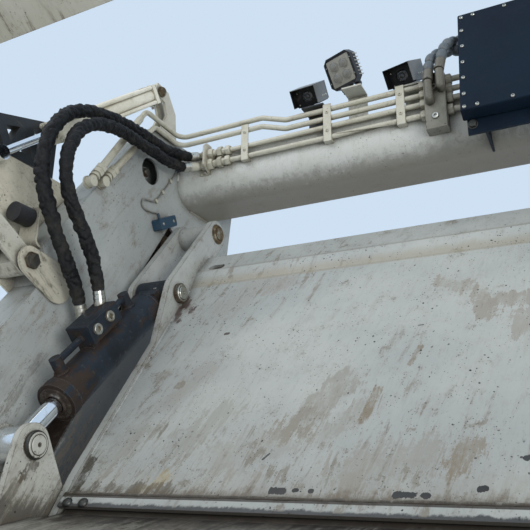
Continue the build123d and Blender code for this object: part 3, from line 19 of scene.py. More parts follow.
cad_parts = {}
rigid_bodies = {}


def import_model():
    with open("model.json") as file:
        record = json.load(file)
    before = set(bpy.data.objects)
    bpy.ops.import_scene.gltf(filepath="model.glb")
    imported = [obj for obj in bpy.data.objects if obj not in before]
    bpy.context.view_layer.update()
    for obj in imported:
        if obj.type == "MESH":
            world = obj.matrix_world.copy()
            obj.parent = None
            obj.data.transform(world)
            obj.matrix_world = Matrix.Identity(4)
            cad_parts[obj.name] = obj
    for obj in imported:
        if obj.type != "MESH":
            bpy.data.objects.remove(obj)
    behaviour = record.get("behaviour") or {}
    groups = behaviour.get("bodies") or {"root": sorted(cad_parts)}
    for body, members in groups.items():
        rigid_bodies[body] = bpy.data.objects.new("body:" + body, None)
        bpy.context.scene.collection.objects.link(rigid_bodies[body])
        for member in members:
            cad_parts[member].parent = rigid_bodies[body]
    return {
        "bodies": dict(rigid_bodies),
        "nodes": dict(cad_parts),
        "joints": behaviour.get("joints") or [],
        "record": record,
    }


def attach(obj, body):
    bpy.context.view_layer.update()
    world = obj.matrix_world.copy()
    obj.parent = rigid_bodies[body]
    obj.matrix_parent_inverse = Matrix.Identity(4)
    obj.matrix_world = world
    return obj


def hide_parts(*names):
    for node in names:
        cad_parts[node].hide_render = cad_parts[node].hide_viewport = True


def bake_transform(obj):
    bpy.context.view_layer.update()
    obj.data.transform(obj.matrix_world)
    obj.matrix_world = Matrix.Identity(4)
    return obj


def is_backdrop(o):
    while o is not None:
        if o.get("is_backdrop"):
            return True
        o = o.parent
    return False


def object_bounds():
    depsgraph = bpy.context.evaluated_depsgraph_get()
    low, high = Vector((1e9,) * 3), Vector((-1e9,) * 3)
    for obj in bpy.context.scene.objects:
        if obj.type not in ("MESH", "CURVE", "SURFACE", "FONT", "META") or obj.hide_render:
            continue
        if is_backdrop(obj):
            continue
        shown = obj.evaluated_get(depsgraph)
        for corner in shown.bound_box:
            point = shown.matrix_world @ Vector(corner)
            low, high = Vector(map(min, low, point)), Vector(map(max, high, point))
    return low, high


Pair = tuple[float, float]
Triple = tuple[float, float, float]
Value = Union[float, "Term"]
Input = Union[float, Triple, "Term"]
LOG = logging.getLogger("tailgate")
SIDES = ((1, "right"), (-1, "left"))
BOTH = tuple(side for side, _ in SIDES)


def along(start: Pair, angle: float, distance: float) -> Pair:
    """The (y, z) place at a distance and an angle from another place."""
    turn = math.radians(angle)
    return start[0] + distance * math.cos(turn), start[1] + distance * math.sin(turn)


def heading(start: Pair, end: Pair) -> float:
    """The angle from one (y, z) place to another."""
    return math.degrees(math.atan2(end[1] - start[1], end[0] - start[0]))


def aim(angle: float) -> Triple:
    """The direction in the side view at an angle."""
    return (0.0, *along((0.0, 0.0), angle, 1.0))


def shown(red: int, green: int, blue: int) -> Triple:
    """A colour as a screen shows it, 0 to 255, as linear light."""
    parts = (value / 255 for value in (red, green, blue))
    light = [part / 12.92 if part <= 0.04045 else ((part + 0.055) / 1.055) ** 2.4 for part in parts]
    return light[0], light[1], light[2]


@dataclass(frozen=True)
class Layout:
    """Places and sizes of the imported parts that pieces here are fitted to."""

    inner_half: float = 1.080
    plate_bottom: Pair = (-1.1610, -1.4480)
    plate_top: Pair = (-0.5470, -0.6490)
    plate_half: float = 0.858
    strip_thick: float = 0.012
    ridge_start: float = 0.168
    upper_roller: Pair = (-0.4950, -0.5400)
    lower_roller: Pair = (-1.15036, -1.51526)
    barrel_pin: Pair = (-0.7250, -0.8250)
    blade_pin: Pair = (-1.25706, -1.32696)
    cylinder_x: float = 0.941
    barrel_radius: float = 0.055
    air_base: Pair = (-0.5540, 0.1070)
    air_rod_pin: Pair = (-1.2590, -0.4990)
    air_x: float = 1.145
    tube_y: float = -0.465
    tube_heights: tuple[float, ...] = (-0.225, -0.182, -0.147, -0.110)
    box_bottom: Pair = (-0.600, -0.317)
    box_tilt: float = 72.4
    lamp_place: Triple = (-0.349, -0.462, 0.038)
    lamp_turn: Pair = (20.0, 29.0)
    camera_places: tuple[Triple, ...] = ((-0.493, -0.446, -0.017), (-0.129, -0.443, -0.035))
    camera_turns: tuple[Pair, ...] = ((3.0, 38.0), (13.0, 33.0))
    blade_angle: float = 188.0
    cover_pivot: Pair = (-1.161, -0.812)
    cover_angle: float = 150.0
    pin_head: float = 0.012
    ear_thick: float = 0.022
    ear_gap: float = 0.004
    wall_hole: Pair = (-0.632, -0.295)
    sensor_place: Pair = (-0.549, -0.480)
    sensor_angle: float = 28.8
    bulkhead_x: float = 0.958
    bulkhead_run: Triple = (0.62, -0.74, -0.25)
    tail_lamp_x: float = 1.135
    tail_lamp_places: tuple[Pair, ...] = ((-1.54407, -1.39470), (-1.59662, -1.46278), (-1.64916, -1.53086))
    tail_lamp_axis: Triple = (0.0, -0.79165, 0.61098)

    @property
    def plate_angle(self) -> float:
        """The plate's slope."""
        return heading(self.plate_bottom, self.plate_top)

    @property
    def plate_length(self) -> float:
        """The plate's length up its slope."""
        return math.dist(self.plate_bottom, self.plate_top)

    @property
    def cylinder_angle(self) -> float:
        """The blade cylinders' direction from the barrel's pin to the blade's."""
        return heading(self.barrel_pin, self.blade_pin)

    def on_plate(self, x: float, up: float, out: float = 0.0) -> Triple:
        """A place on the plate.

        Args:
            x: how far across.
            up: how far up its slope from the foot.
            out: how far off its rear face.

        Returns:
            The place in the frame.
        """
        return (x, *along(along(self.plate_bottom, self.plate_angle, up), self.plate_angle + 90.0, out))

    def by_barrel(self, x: float, reach: float, out: float) -> Triple:
        """A place beside a blade cylinder: its reach from the barrel's pin, and how far out to the rear."""
        rear = self.cylinder_angle - 90.0
        return (x, *along(along(self.barrel_pin, self.cylinder_angle, reach), rear, out))

    def on_box(self, x: float, up: float) -> Triple:
        """A place on the control box's rear face."""
        return (x, *along(self.box_bottom, self.box_tilt, up))


LAYOUT = Layout()


# Materials


class Term:
    """A socket's value in a material, so that its maths reads as Python."""

    def __init__(self, graph: Graph, socket: bpy.types.NodeSocket) -> None:
        """Keep the socket and the graph that it is in."""
        self.graph = graph
        self.socket = socket

    def __add__(self, other: Value) -> Term:
        """This value plus another."""
        return self.graph.maths("ADD", self, other)

    __radd__ = __add__

    def __sub__(self, other: Value) -> Term:
        """This value less another."""
        return self.graph.maths("SUBTRACT", self, other)

    def __rsub__(self, other: Value) -> Term:
        """Another value less this one."""
        return self.graph.maths("SUBTRACT", other, self)

    def __mul__(self, other: Value) -> Term:
        """This value times another."""
        return self.graph.maths("MULTIPLY", self, other)

    __rmul__ = __mul__

    def __truediv__(self, other: Value) -> Term:
        """This value divided by another."""
        return self.graph.maths("DIVIDE", self, other)

    def __rtruediv__(self, other: Value) -> Term:
        """Another value divided by this one."""
        return self.graph.maths("DIVIDE", other, self)

    def __pow__(self, other: Value) -> Term:
        """This value to a power."""
        return self.graph.maths("POWER", self, other)

    def __abs__(self) -> Term:
        """This value without its sign."""
        return self.graph.maths("ABSOLUTE", self)

    def __or__(self, other: Value) -> Term:
        """The larger of this value and another."""
        return self.graph.maths("MAXIMUM", self, other)

    def __and__(self, other: Value) -> Term:
        """The smaller of this value and another."""
        return self.graph.maths("MINIMUM", self, other)

    def rise(self, low: float, high: float) -> Term:
        """0 before low and 1 after high, smooth between; it falls where low is above high."""
        return self.graph.node("ShaderNodeMapRange", {"interpolation_type": "SMOOTHSTEP"},
                               {0: self, 1: low, 2: high})


class Graph:
    """A material's nodes."""

    def __init__(self, name: str) -> None:
        """Start an empty material."""
        self.material = bpy.data.materials.new(name)
        self.material.use_nodes = True
        self.tree = self.material.node_tree
        self.tree.nodes.clear()

    def node(self, kind: str, settings: Mapping[str, Any], inputs: Mapping[Union[str, int], Input],
             output: Union[str, int] = 0) -> Term:
        """Add a node.

        Args:
            kind: its Blender type.
            settings: its own settings, set first; "stops" are a ramp's (place, colour) pairs.
            inputs: values or links of its sockets.
            output: the socket that the result stands for.

        Returns:
            The result.
        """
        made = self.tree.nodes.new(kind)
        for key, value in settings.items():
            if key == "stops":
                while len(made.color_ramp.elements) < len(value):
                    made.color_ramp.elements.new(0.5)
                for element, (place, colour) in zip(made.color_ramp.elements, value):
                    element.position, element.color = place, (*colour, 1.0)
            else:
                setattr(made, key, value)
        for key, value in inputs.items():
            socket = made.inputs[key]
            if isinstance(value, Term):
                self.tree.links.new(value.socket, socket)
            elif isinstance(value, tuple) and len(socket.default_value) == 4:
                socket.default_value = (*value, 1.0)
            else:
                socket.default_value = value
        return Term(self, made.outputs[output])

    def maths(self, operation: str, *values: Value) -> Term:
        """A Math node on one or two numbers."""
        return self.node("ShaderNodeMath", {"operation": operation}, dict(enumerate(values)))

    def vector(self, operation: str, *values: Input, output: str = "Vector") -> Term:
        """A Vector Math node."""
        return self.node("ShaderNodeVectorMath", {"operation": operation}, dict(enumerate(values)), output)

    def place(self) -> Term:
        """Where on the piece a point is, in the frame at rest."""
        return self.node("ShaderNodeTexCoord", {}, {}, "Object")

    def reach(self, at: Term, direction: Triple, start: Triple = (0.0, 0.0, 0.0)) -> Term:
        """How far a point is along a direction from a start."""
        offset = sum(one * two for one, two in zip(direction, start))
        return self.vector("DOT_PRODUCT", at, direction, output="Value") - offset

    def turned(self, at: Term, angle: float, scale: Triple, lean: float = 0.0) -> Term:
        """Places for a stretched pattern, turned about X so that it runs at an angle in the side view.

        Args:
            at: the places.
            angle: the run's angle.
            scale: the pattern's scale across, off and along the run.
            lean: how far the run leans to +X, in degrees.

        Returns:
            The turned and scaled places.
        """
        turn = (math.radians(90.0 - angle), 0.0, 0.0)
        upright = self.node("ShaderNodeVectorRotate", {"rotation_type": "EULER_XYZ"},
                            {"Vector": at, "Rotation": turn})
        if lean:
            tilt = (0.0, math.radians(-lean), 0.0)
            upright = self.node("ShaderNodeVectorRotate", {"rotation_type": "EULER_XYZ"},
                                {"Vector": upright, "Rotation": tilt})
        return self.vector("MULTIPLY", upright, scale)

    def clouds(self, at: Term, scale: float, detail: float = 4.0, rough: float = 0.55,
               swirl: float = 0.0) -> Term:
        """Soft noise, 0 to 1 about a half."""
        return self.node("ShaderNodeTexNoise", {}, {"Vector": at, "Scale": scale, "Detail": detail,
                                                    "Roughness": rough, "Distortion": swirl})

    def cells(self, at: Term, scale: float) -> Term:
        """The distance to the nearest of scattered points, in cells."""
        return self.node("ShaderNodeTexVoronoi", {}, {"Vector": at, "Scale": scale}, "Distance")

    def mix(self, share: Value, first: Input, second: Input) -> Term:
        """One colour blended into another."""
        return self.node("ShaderNodeMix", {"data_type": "RGBA"}, {0: share, 6: first, 7: second}, 2)

    def corners(self, reach: float) -> Term:
        """How much a point lies in a corner between surfaces, 0 in the open."""
        return 1.0 - self.node("ShaderNodeAmbientOcclusion", {"samples": 6}, {"Distance": reach}, "AO")

    def edges(self, radius: float) -> Term:
        """How near a point is to an outer or inner edge, 0 away from it."""
        eased = self.node("ShaderNodeBevel", {"samples": 4}, {"Radius": radius})
        straight = self.node("ShaderNodeNewGeometry", {}, {}, "Normal")
        return 1.0 - self.vector("DOT_PRODUCT", eased, straight, output="Value")

    def bump(self, height: Term, depth: float) -> Term:
        """A surface that a height of 0 to 1 raises by a depth in metres."""
        inputs = {"Strength": 1.0, "Distance": depth, "Height": height}
        return self.node("ShaderNodeBump", {}, inputs, "Normal")

    def finish(self, colour: Input, rough: Value, metal: Value = 0.0, normal: Optional[Term] = None,
               **fixed: float) -> bpy.types.Material:
        """Close the material with its shader.

        Args:
            colour: the base colour.
            rough: the roughness.
            metal: the metallic share.
            normal: the bumped normal.
            **fixed: other sockets' numbers, spaces in their names as underscores.

        Returns:
            The material.
        """
        inputs: dict[Union[str, int], Input] = {"Base Color": colour, "Roughness": rough, "Metallic": metal}
        if normal is not None:
            inputs["Normal"] = normal
        inputs.update({name.replace("_", " "): value for name, value in fixed.items()})
        shader = self.node("ShaderNodeBsdfPrincipled", {}, inputs)
        output = self.tree.nodes.new("ShaderNodeOutputMaterial")
        self.tree.links.new(shader.socket, output.inputs["Surface"])
        return self.material


# How far the rough noise, which stays close to a half, moves the edge of a smear or a band
SMEAR_SPREAD = 15.0
BAND_SPREAD = 9.0


@dataclass(frozen=True)
class Smear:
    """A smear, stain or chip on a surface, or painted shade on the inner walls: a ragged patch round a line
    between two places.
    """

    start: Triple
    end: Triple
    width: float
    colour: Triple
    strength: float = 0.6
    ragged: float = 0.5
    soft: float = 0.3

    def lay(self, graph: Graph, at: Term, rough: Term, under: Input) -> Term:
        """Lay the smear on a colour.

        Args:
            graph: the material's nodes.
            at: the places.
            rough: a noise that breaks up its edge.
            under: the colour below it.

        Returns:
            The colour with the smear.
        """
        run = Vector(self.end) - Vector(self.start)
        offset = graph.vector("SUBTRACT", at, self.start)
        per_length = tuple(run / max(run.length_squared, 1e-9))
        share = graph.vector("DOT_PRODUCT", offset, per_length, output="Value")
        share = (share | 0.0) & 1.0
        inputs = {0: tuple(run), "Scale": share}
        step = graph.node("ShaderNodeVectorMath", {"operation": "SCALE"}, inputs, "Vector")
        gap = graph.vector("LENGTH", graph.vector("SUBTRACT", offset, step), output="Value") / self.width
        mask = (gap + (rough - 0.5) * (SMEAR_SPREAD * self.ragged)).rise(1.0, 1.0 - self.soft)
        mottled = mask * (0.35 + 0.65 * rough.rise(0.56, 0.46)) if self.ragged > 0.45 else mask
        return graph.mix(mottled * self.strength, under, self.colour)


@dataclass(frozen=True)
class Band:
    """Grime, or painted shade on the beam's underside, that gathers at a line: how far it reaches along a
    direction, and how far behind its start.
    """

    start: Triple
    direction: Triple
    reach: float
    colour: Triple
    strength: float = 0.6
    broken: float = 0.6
    behind: float = 9.0

    def lay(self, graph: Graph, at: Term, rough: Term, under: Input) -> Term:
        """Lay the band on a colour, as Smear.lay does."""
        away = graph.reach(at, self.direction, self.start)
        edge = (away / self.reach + (rough - 0.5) * (BAND_SPREAD * self.broken)).rise(1.0, 0.0)
        back = away.rise(-self.behind * 1.1 - 0.0005, -self.behind)
        return graph.mix(edge * back * self.strength, under, self.colour)


GRIME = shown(112, 104, 90)
SOOT = shown(38, 36, 33)
RUST = shown(94, 66, 46)
OLD_RUST = shown(62, 50, 41)


@dataclass(frozen=True)
class Paint:
    """Sprayed paint, weathered outdoors: runs of dirt, worn patches, specks, scratches and chipped edges, and
    dirt with painted shade darkening its corners.
    """

    name: str
    coat: Triple
    faded: Triple
    grime: Triple = GRIME
    under: Triple = OLD_RUST
    run_angle: float = 56.0
    lean: float = 0.0
    runs: float = 0.45
    smudges: float = 0.5
    specks: float = 0.7
    chips: float = 0.6
    corner_dirt_and_shade: float = 0.7
    gloss: float = 0.42
    dents: float = 0.0012
    shine: float = 0.42
    patches: tuple[Union[Smear, Band], ...] = ()

    def build(self) -> bpy.types.Material:
        """Make the material."""
        graph = Graph(self.name)
        at = graph.place()
        broad = graph.clouds(at, 2.6, 4.0, 0.6)
        middling = graph.clouds(at, 19.0, 8.0, 0.7)
        fine = graph.clouds(at, 120.0, 5.0, 0.7)
        run = graph.turned(at, self.run_angle, (38.0, 38.0, 6.0), self.lean)
        runs = graph.clouds(run, 1.0, 9.0, 0.74, 0.5)
        thin = graph.turned(at, self.run_angle, (210.0, 210.0, 13.0), self.lean)
        hairs = graph.clouds(thin, 1.0, 5.0, 0.7)
        colour: Input = graph.mix(broad.rise(0.34, 0.66), self.coat, self.faded)
        film = (fine - 0.5) * 0.5 + (middling - 0.5) * 0.9 + (hairs - 0.5) * 0.5
        colour = graph.mix(film.rise(-0.06, 0.42) * 0.5, colour, self.grime)
        dirty = broad.rise(0.44, 0.6)
        veil = runs.rise(0.5, 0.66) * (0.25 + 0.75 * dirty) * self.runs
        colour = graph.mix(veil, colour, self.grime)
        smudge = (runs * 0.5 + middling * 0.5).rise(0.545, 0.57) * dirty * (0.5 + fine) * self.smudges
        colour = graph.mix(smudge & 1.0, colour, self.grime)
        scab = (middling + (fine - 0.5) * 0.14).rise(0.628, 0.64) * self.smudges * 0.55
        colour = graph.mix(scab, colour, tuple(value * 0.9 for value in self.grime))
        ragged = runs * 0.55 + middling * 0.3 + fine * 0.15
        for patch in self.patches:
            colour = patch.lay(graph, at, ragged, colour)
        # Dirt and painted shade in corners: a dark grime laid by ambient occlusion where surfaces meet.
        corner = graph.corners(0.05)
        dirt_and_shade_in_corners = (corner * 1.6 * (0.3 + middling) + (fine - 0.5) * 0.3).rise(0.14, 0.8) * self.corner_dirt_and_shade
        colour = graph.mix(dirt_and_shade_in_corners, colour, tuple(value * 0.5 for value in self.grime))
        worn_cells = graph.cells(at, 50.0) + (fine - 0.5) * 0.45
        dots = worn_cells.rise(0.12, 0.1) * graph.clouds(at, 9.0, 3.0).rise(0.46, 0.58)
        pins = (graph.cells(at, 120.0) + (fine - 0.5) * 0.5).rise(0.17, 0.13) * middling.rise(0.42, 0.56)
        slant = graph.turned(at, self.run_angle + 14.0, (120.0, 120.0, 22.0), self.lean - 22.0)
        nicks = graph.cells(slant, 1.0)
        cuts = nicks.rise(0.11, 0.085) * runs.rise(0.5, 0.6)
        marks = (dots | (pins * 0.8) | (cuts * 0.8)) * self.specks
        colour = graph.mix(marks, colour, SOOT)
        worn_edge = graph.edges(0.004) * 3.0 + (middling - 0.5) * 2.2 + (fine - 0.5) * 1.2
        chip = worn_edge.rise(0.5, 0.56) * self.chips
        colour = graph.mix(chip, colour, self.under)
        rough = self.gloss + veil * 0.3 + dirt_and_shade_in_corners * 0.35 + chip * 0.3 + (middling - 0.5) * 0.3
        relief = broad * 0.8 + middling * 0.12 + fine * 0.04 - chip * 0.3 - marks * 0.12 - scab * 0.1
        return graph.finish(colour, rough & 0.95, 0.0, graph.bump(relief, self.dents),
                            Specular_IOR_Level=self.shine)


@dataclass(frozen=True)
class Steel:
    """Bare or plated steel with rust or dirt on it."""

    name: str
    bright: Triple
    rust: Triple = RUST
    rusted: float = 0.4
    polish: float = 0.32
    run_angle: float = 56.0
    scratches: float = 0.5
    pits: float = 0.0004

    def build(self) -> bpy.types.Material:
        """Make the material."""
        graph = Graph(self.name)
        at = graph.place()
        broad = graph.clouds(at, 5.0, 5.0, 0.62)
        middling = graph.clouds(at, 40.0, 6.0, 0.7)
        fine = graph.clouds(at, 260.0, 3.0, 0.6)
        lines = graph.clouds(graph.turned(at, self.run_angle, (420.0, 420.0, 9.0)), 1.0, 3.0, 0.6)
        amount = ((broad - 0.5) * 1.3 + (middling - 0.5) * 1.1 + graph.corners(0.02) * 0.5 + self.rusted)
        rust = amount.rise(0.42, 0.62)
        bright: Input = graph.mix(lines.rise(0.4, 0.65) * self.scratches, self.bright,
                                  tuple(value * 0.62 for value in self.bright))
        brown = graph.mix(middling.rise(0.35, 0.65), self.rust, tuple(value * 0.45 for value in self.rust))
        colour = graph.mix(rust, bright, brown)
        rough = self.polish + rust * (0.86 - self.polish) + (lines - 0.5) * 0.18
        relief = middling * rust * 0.8 + fine * (0.2 + rust * 0.3) + lines * 0.15
        return graph.finish(colour, rough & 0.95, 1.0 - rust * 0.92, graph.bump(relief, self.pits))


@dataclass(frozen=True)
class Primer:
    """Matt blue-grey primer on the blade cylinders, with rust coming through it."""

    name: str = "cylinder_primer"
    coat: Triple = shown(36, 45, 55)
    faded: Triple = shown(26, 31, 37)
    rust: Triple = shown(56, 45, 39)

    def build(self) -> bpy.types.Material:
        """Make the material."""
        graph = Graph(self.name)
        at = graph.place()
        broad = graph.clouds(at, 7.0, 5.0, 0.62, 0.6)
        middling = graph.clouds(at, 34.0, 6.0, 0.7)
        fine = graph.clouds(at, 240.0, 3.0)
        run = graph.turned(at, LAYOUT.cylinder_angle, (26.0, 26.0, 5.0))
        runs = graph.clouds(run, 1.0, 6.0, 0.66, 0.5)
        colour: Input = graph.mix(broad.rise(0.35, 0.65), self.coat, self.faded)
        axis = Vector(aim(LAYOUT.cylinder_angle))
        low_end = graph.reach(at, tuple(axis), (0.0, *LAYOUT.barrel_pin)).rise(0.42, 0.55)
        patchy = (runs - 0.5) * 1.6 + (middling - 0.5) * 1.2 + graph.corners(0.03) * 0.6 + low_end * 0.35
        rust = patchy.rise(0.08, 0.34)
        brown = graph.mix(middling.rise(0.3, 0.7), self.rust, OLD_RUST)
        colour = graph.mix(rust * 0.78, colour, brown)
        dust = graph.clouds(at, 70.0, 4.0).rise(0.6, 0.7) * 0.35
        colour = graph.mix(dust, colour, shown(84, 86, 86))
        pale = (graph.edges(0.003) * 2.6 + (fine - 0.5)).rise(0.4, 0.6) * 0.4
        colour = graph.mix(pale, colour, shown(128, 124, 118))
        rough = 0.5 + rust * 0.28 + (middling - 0.5) * 0.2
        relief = middling * 0.6 + fine * 0.3 + rust * 0.3
        return graph.finish(colour, rough, rust * 0.1, graph.bump(relief, 0.0005), Specular_IOR_Level=0.22)


@dataclass(frozen=True)
class Chrome:
    """A hard chromed rod, wiped bright, with faint rings and a little dirt."""

    name: str = "rod_chrome"
    tint: Triple = shown(228, 233, 238)

    def build(self) -> bpy.types.Material:
        """Make the material."""
        graph = Graph(self.name)
        at = graph.place()
        rings = graph.clouds(graph.turned(at, LAYOUT.cylinder_angle, (3.0, 3.0, 240.0)), 1.0, 3.0)
        film = graph.clouds(at, 22.0, 5.0, 0.65).rise(0.52, 0.74)
        colour = graph.mix(film * 0.45, self.tint, shown(150, 138, 120))
        return graph.finish(colour, 0.07 + film * 0.3 + rings * 0.05, 1.0 - film * 0.25,
                            graph.bump(rings, 0.00003))


@dataclass(frozen=True)
class Cloth:
    """Woven protective sleeve: black, dust on its raised folds, and its creases left black as painted shade.
    """

    name: str = "sleeve_cloth"
    thread: Triple = shown(12, 13, 16)
    dust: Triple = shown(66, 64, 58)

    def build(self) -> bpy.types.Material:
        """Make the material."""
        graph = Graph(self.name)
        at = graph.place()
        weave = []
        for direction in ("X", "Z"):
            weave.append(graph.node("ShaderNodeTexWave", {"bands_direction": direction},
                                    {"Vector": at, "Scale": 190.0, "Distortion": 1.2, "Detail": 2.0}, "Fac"))
        threads = weave[0] * 0.5 + weave[1] * 0.5
        cloud = graph.clouds(at, 26.0, 5.0, 0.66)
        broad = graph.clouds(at, 6.0, 3.0)
        lint = graph.clouds(at, 420.0, 2.0).rise(0.66, 0.78)
        folds = graph.corners(0.006)
        # Occlusion keeps the dust out of the creases so they stay black: painted shade, with the dust on the
        # folds.
        dust_and_crease_shade = ((cloud - 0.5) * 1.7 + (broad - 0.5) * 1.4 - folds * 1.2 + 0.06).rise(0.0, 0.55) * 0.42
        colour: Input = graph.mix(threads.rise(0.3, 0.7) * 0.5, self.thread, shown(24, 26, 30))
        colour = graph.mix(dust_and_crease_shade, colour, self.dust)
        colour = graph.mix(lint * 0.2, colour, shown(110, 108, 100))
        return graph.finish(colour, 0.6 + dust_and_crease_shade * 0.3, 0.0, graph.bump(threads * 0.7 + cloud * 0.6, 0.0007),
                            Specular_IOR_Level=0.28)


@dataclass(frozen=True)
class Moulding:
    """Moulded plastic or rubber with a fine grain, dusty or scuffed."""

    name: str
    coat: Triple
    worn: Triple
    gloss: float = 0.45
    wear: float = 0.4
    grain: float = 420.0
    depth: float = 0.00015

    def build(self) -> bpy.types.Material:
        """Make the material."""
        graph = Graph(self.name)
        at = graph.place()
        grain = graph.clouds(at, self.grain, 2.0)
        cloud = graph.clouds(at, 19.0, 6.0, 0.68)
        scuff = graph.clouds(graph.turned(at, 60.0, (60.0, 60.0, 11.0), 20.0), 1.0, 5.0, 0.7)
        edge = (graph.edges(0.0025) * 2.4 + (cloud - 0.5)).rise(0.4, 0.62)
        worn = (cloud.rise(0.48, 0.74) * 0.6 + scuff.rise(0.58, 0.76) * 0.5 + edge * 0.5) * self.wear
        colour = graph.mix(worn & 1.0, self.coat, self.worn)
        rough = self.gloss + worn * 0.3 + (grain - 0.5) * 0.12
        return graph.finish(colour, rough, 0.0, graph.bump(grain * 0.7 + cloud * 0.4, self.depth))


@dataclass(frozen=True)
class CameraShell:
    """The cameras' black fronts under their bent sunshades."""

    name: str = "camera_shell"
    black: Triple = shown(14, 15, 18)
    shade: Triple = shown(124, 127, 128)
    side: float = 0.0462
    top: float = 0.0352
    seam: float = 0.0004

    def build(self) -> bpy.types.Material:
        """Make the material, with a mask in each camera's own directions."""
        graph = Graph(self.name)
        at = graph.place()
        masks = []
        for place, turn in zip(LAYOUT.camera_places, LAYOUT.camera_turns):
            turned = device_frame(place, turn).to_3x3()
            across = graph.reach(at, tuple(turned @ Vector((1.0, 0.0, 0.0))), place)
            over = graph.reach(at, tuple(turned @ Vector((0.0, 0.0, 1.0))), place)
            masks.append((across.rise(self.side, self.side + self.seam),
                          over.rise(self.top, self.top + self.seam)))
        first = graph.reach(at, (1.0, 0.0, 0.0)).rise(-0.30, -0.32)
        bright = (masks[0][0] | masks[0][1]) * first + masks[1][0] * (1.0 - first)
        cloud = graph.clouds(at, 40.0, 6.0, 0.7)
        grain = graph.clouds(at, 500.0, 2.0)
        colour = graph.mix(bright, self.black, self.shade)
        colour = graph.mix(cloud.rise(0.5, 0.72) * 0.3, colour, shown(92, 90, 84))
        return graph.finish(colour, 0.36 + cloud * 0.16, bright * 0.35, graph.bump(grain, 0.0001),
                            Specular_IOR_Level=0.25)


@dataclass(frozen=True)
class Lens:
    """Lamp glass or a clear moulding over its colour, with fine rings."""

    name: str
    coat: Triple
    deep: Triple
    centres: tuple[Triple, ...] = ()
    axis: Triple = (0.0, -1.0, 0.0)
    pitch: float = 0.0022

    def build(self) -> bpy.types.Material:
        """Make the material."""
        graph = Graph(self.name)
        at = graph.place()
        near: Optional[Term] = None
        for centre in self.centres:
            offset = graph.vector("SUBTRACT", at, centre)
            depth = graph.vector("DOT_PRODUCT", offset, self.axis, output="Value")
            across = graph.vector("LENGTH", offset, output="Value")
            radius = graph.maths("SQRT", (across * across - depth * depth) | 0.0)
            near = radius if near is None else near & radius
        cloud = graph.clouds(at, 60.0, 4.0)
        wave = (near if near is not None else cloud) * (2 * math.pi / self.pitch)
        rings = graph.maths("SINE", wave) * 0.5 + 0.5
        colour = graph.mix(rings * 0.55 + cloud.rise(0.5, 0.75) * 0.25, self.coat, self.deep)
        return graph.finish(colour, 0.14 + cloud * 0.1, 0.0, graph.bump(rings, 0.0003), Coat_Weight=0.7,
                            Coat_Roughness=0.06)


# Mesh forms


class Head(Enum):
    """Profiles of small fittings: (distance from the axis, height, corners) for a radius of 1."""

    HEX = ((1.3, 0.0, 0), (1.3, 0.14, 0), (1.22, 0.18, 0), (1.0, 0.18, 6), (1.0, 0.68, 6), (0.86, 0.82, 0),
           (0.0, 0.82, 0))
    NUT = ((1.0, 0.0, 6), (1.0, 0.62, 6), (0.86, 0.74, 0), (0.6, 0.74, 0), (0.6, 1.12, 0), (0.5, 1.22, 0),
           (0.0, 1.22, 0))
    RING_NUT = ((1.0, 0.0, 6), (1.0, 0.9, 6), (0.88, 1.05, 0), (0.7, 1.05, 0))
    DOME = ((1.0, 0.0, 0), (0.98, 0.16, 0), (0.86, 0.4, 0), (0.6, 0.58, 0), (0.3, 0.67, 0), (0.0, 0.7, 0))
    PLUG = ((1.0, 0.0, 0), (1.0, 0.34, 0), (0.92, 0.44, 0), (0.56, 0.44, 0), (0.5, 0.4, 6), (0.5, 0.06, 6),
            (0.0, 0.06, 0))
    SCREW = ((1.0, 0.0, 0), (0.97, 0.3, 0), (0.76, 0.52, 0), (0.42, 0.56, 6), (0.38, 0.2, 6), (0.0, 0.2, 0))
    NIPPLE = ((1.0, 0.0, 6), (1.0, 0.5, 6), (0.5, 0.56, 0), (0.42, 0.95, 0), (0.6, 1.15, 0), (0.5, 1.5, 0),
              (0.0, 1.6, 0))
    KEEPER = ((1.0, 0.0, 0), (1.0, 0.12, 0), (0.95, 0.16, 0), (0.84, 0.16, 0), (0.82, 0.05, 0),
              (0.77, 0.05, 0),
              (0.76, 0.2, 0), (0.7, 0.25, 0), (0.2, 0.25, 0), (0.16, 0.12, 0), (0.0, 0.12, 0))
    LENS = ((1.0, 0.0, 0), (1.0, 0.07, 0), (0.95, 0.1, 0), (0.9, 0.06, 0), (0.8, 0.09, 0), (0.5, 0.15, 0),
            (0.2, 0.18, 0), (0.0, 0.185, 0))
    EYE = ((1.0, 0.0, 0), (1.0, 0.12, 0), (0.8, 0.2, 0), (0.62, 0.2, 0), (0.58, 0.1, 0), (0.44, 0.06, 0),
           (0.4, 0.14, 0), (0.22, 0.2, 0), (0.0, 0.22, 0))


# Profiles of larger turned pieces, as (distance from the axis, height) pairs
AXLE_CAP = ((0.034, 0.0), (0.034, 0.007), (0.031, 0.010), (0.027, 0.010), (0.026, 0.007), (0.0, 0.007))
PIN_RING = ((0.0300, 0.0), (0.0302, 0.0032), (0.0325, 0.0038), (0.0345, 0.0), (0.0345, -0.004))
WIPER_RING = ((0.0480, -0.002), (0.0480, 0.003), (0.0460, 0.005), (0.0330, 0.005), (0.0310, 0.008),
              (0.0262, 0.008), (0.0255, -0.001))
HOLE_BOSS = ((0.030, 0.0), (0.030, 0.008), (0.024, 0.014), (0.024, 0.077), (0.022, 0.080))
BARREL_CRIMP = ((0.0172, 0.0), (0.0184, 0.001), (0.0184, 0.010), (0.0176, 0.011), (0.0176, 0.015),
                (0.0184, 0.016), (0.0184, 0.024), (0.0176, 0.025), (0.0176, 0.029), (0.0184, 0.030),
                (0.0184, 0.044), (0.0172, 0.046))
BULKHEAD_CRIMP = ((0.0171, 0.0), (0.0183, 0.001), (0.0183, 0.009), (0.0175, 0.010), (0.0175, 0.014),
                  (0.0183, 0.015), (0.0183, 0.023), (0.0175, 0.024), (0.0175, 0.028), (0.0183, 0.029),
                  (0.0180, 0.033))


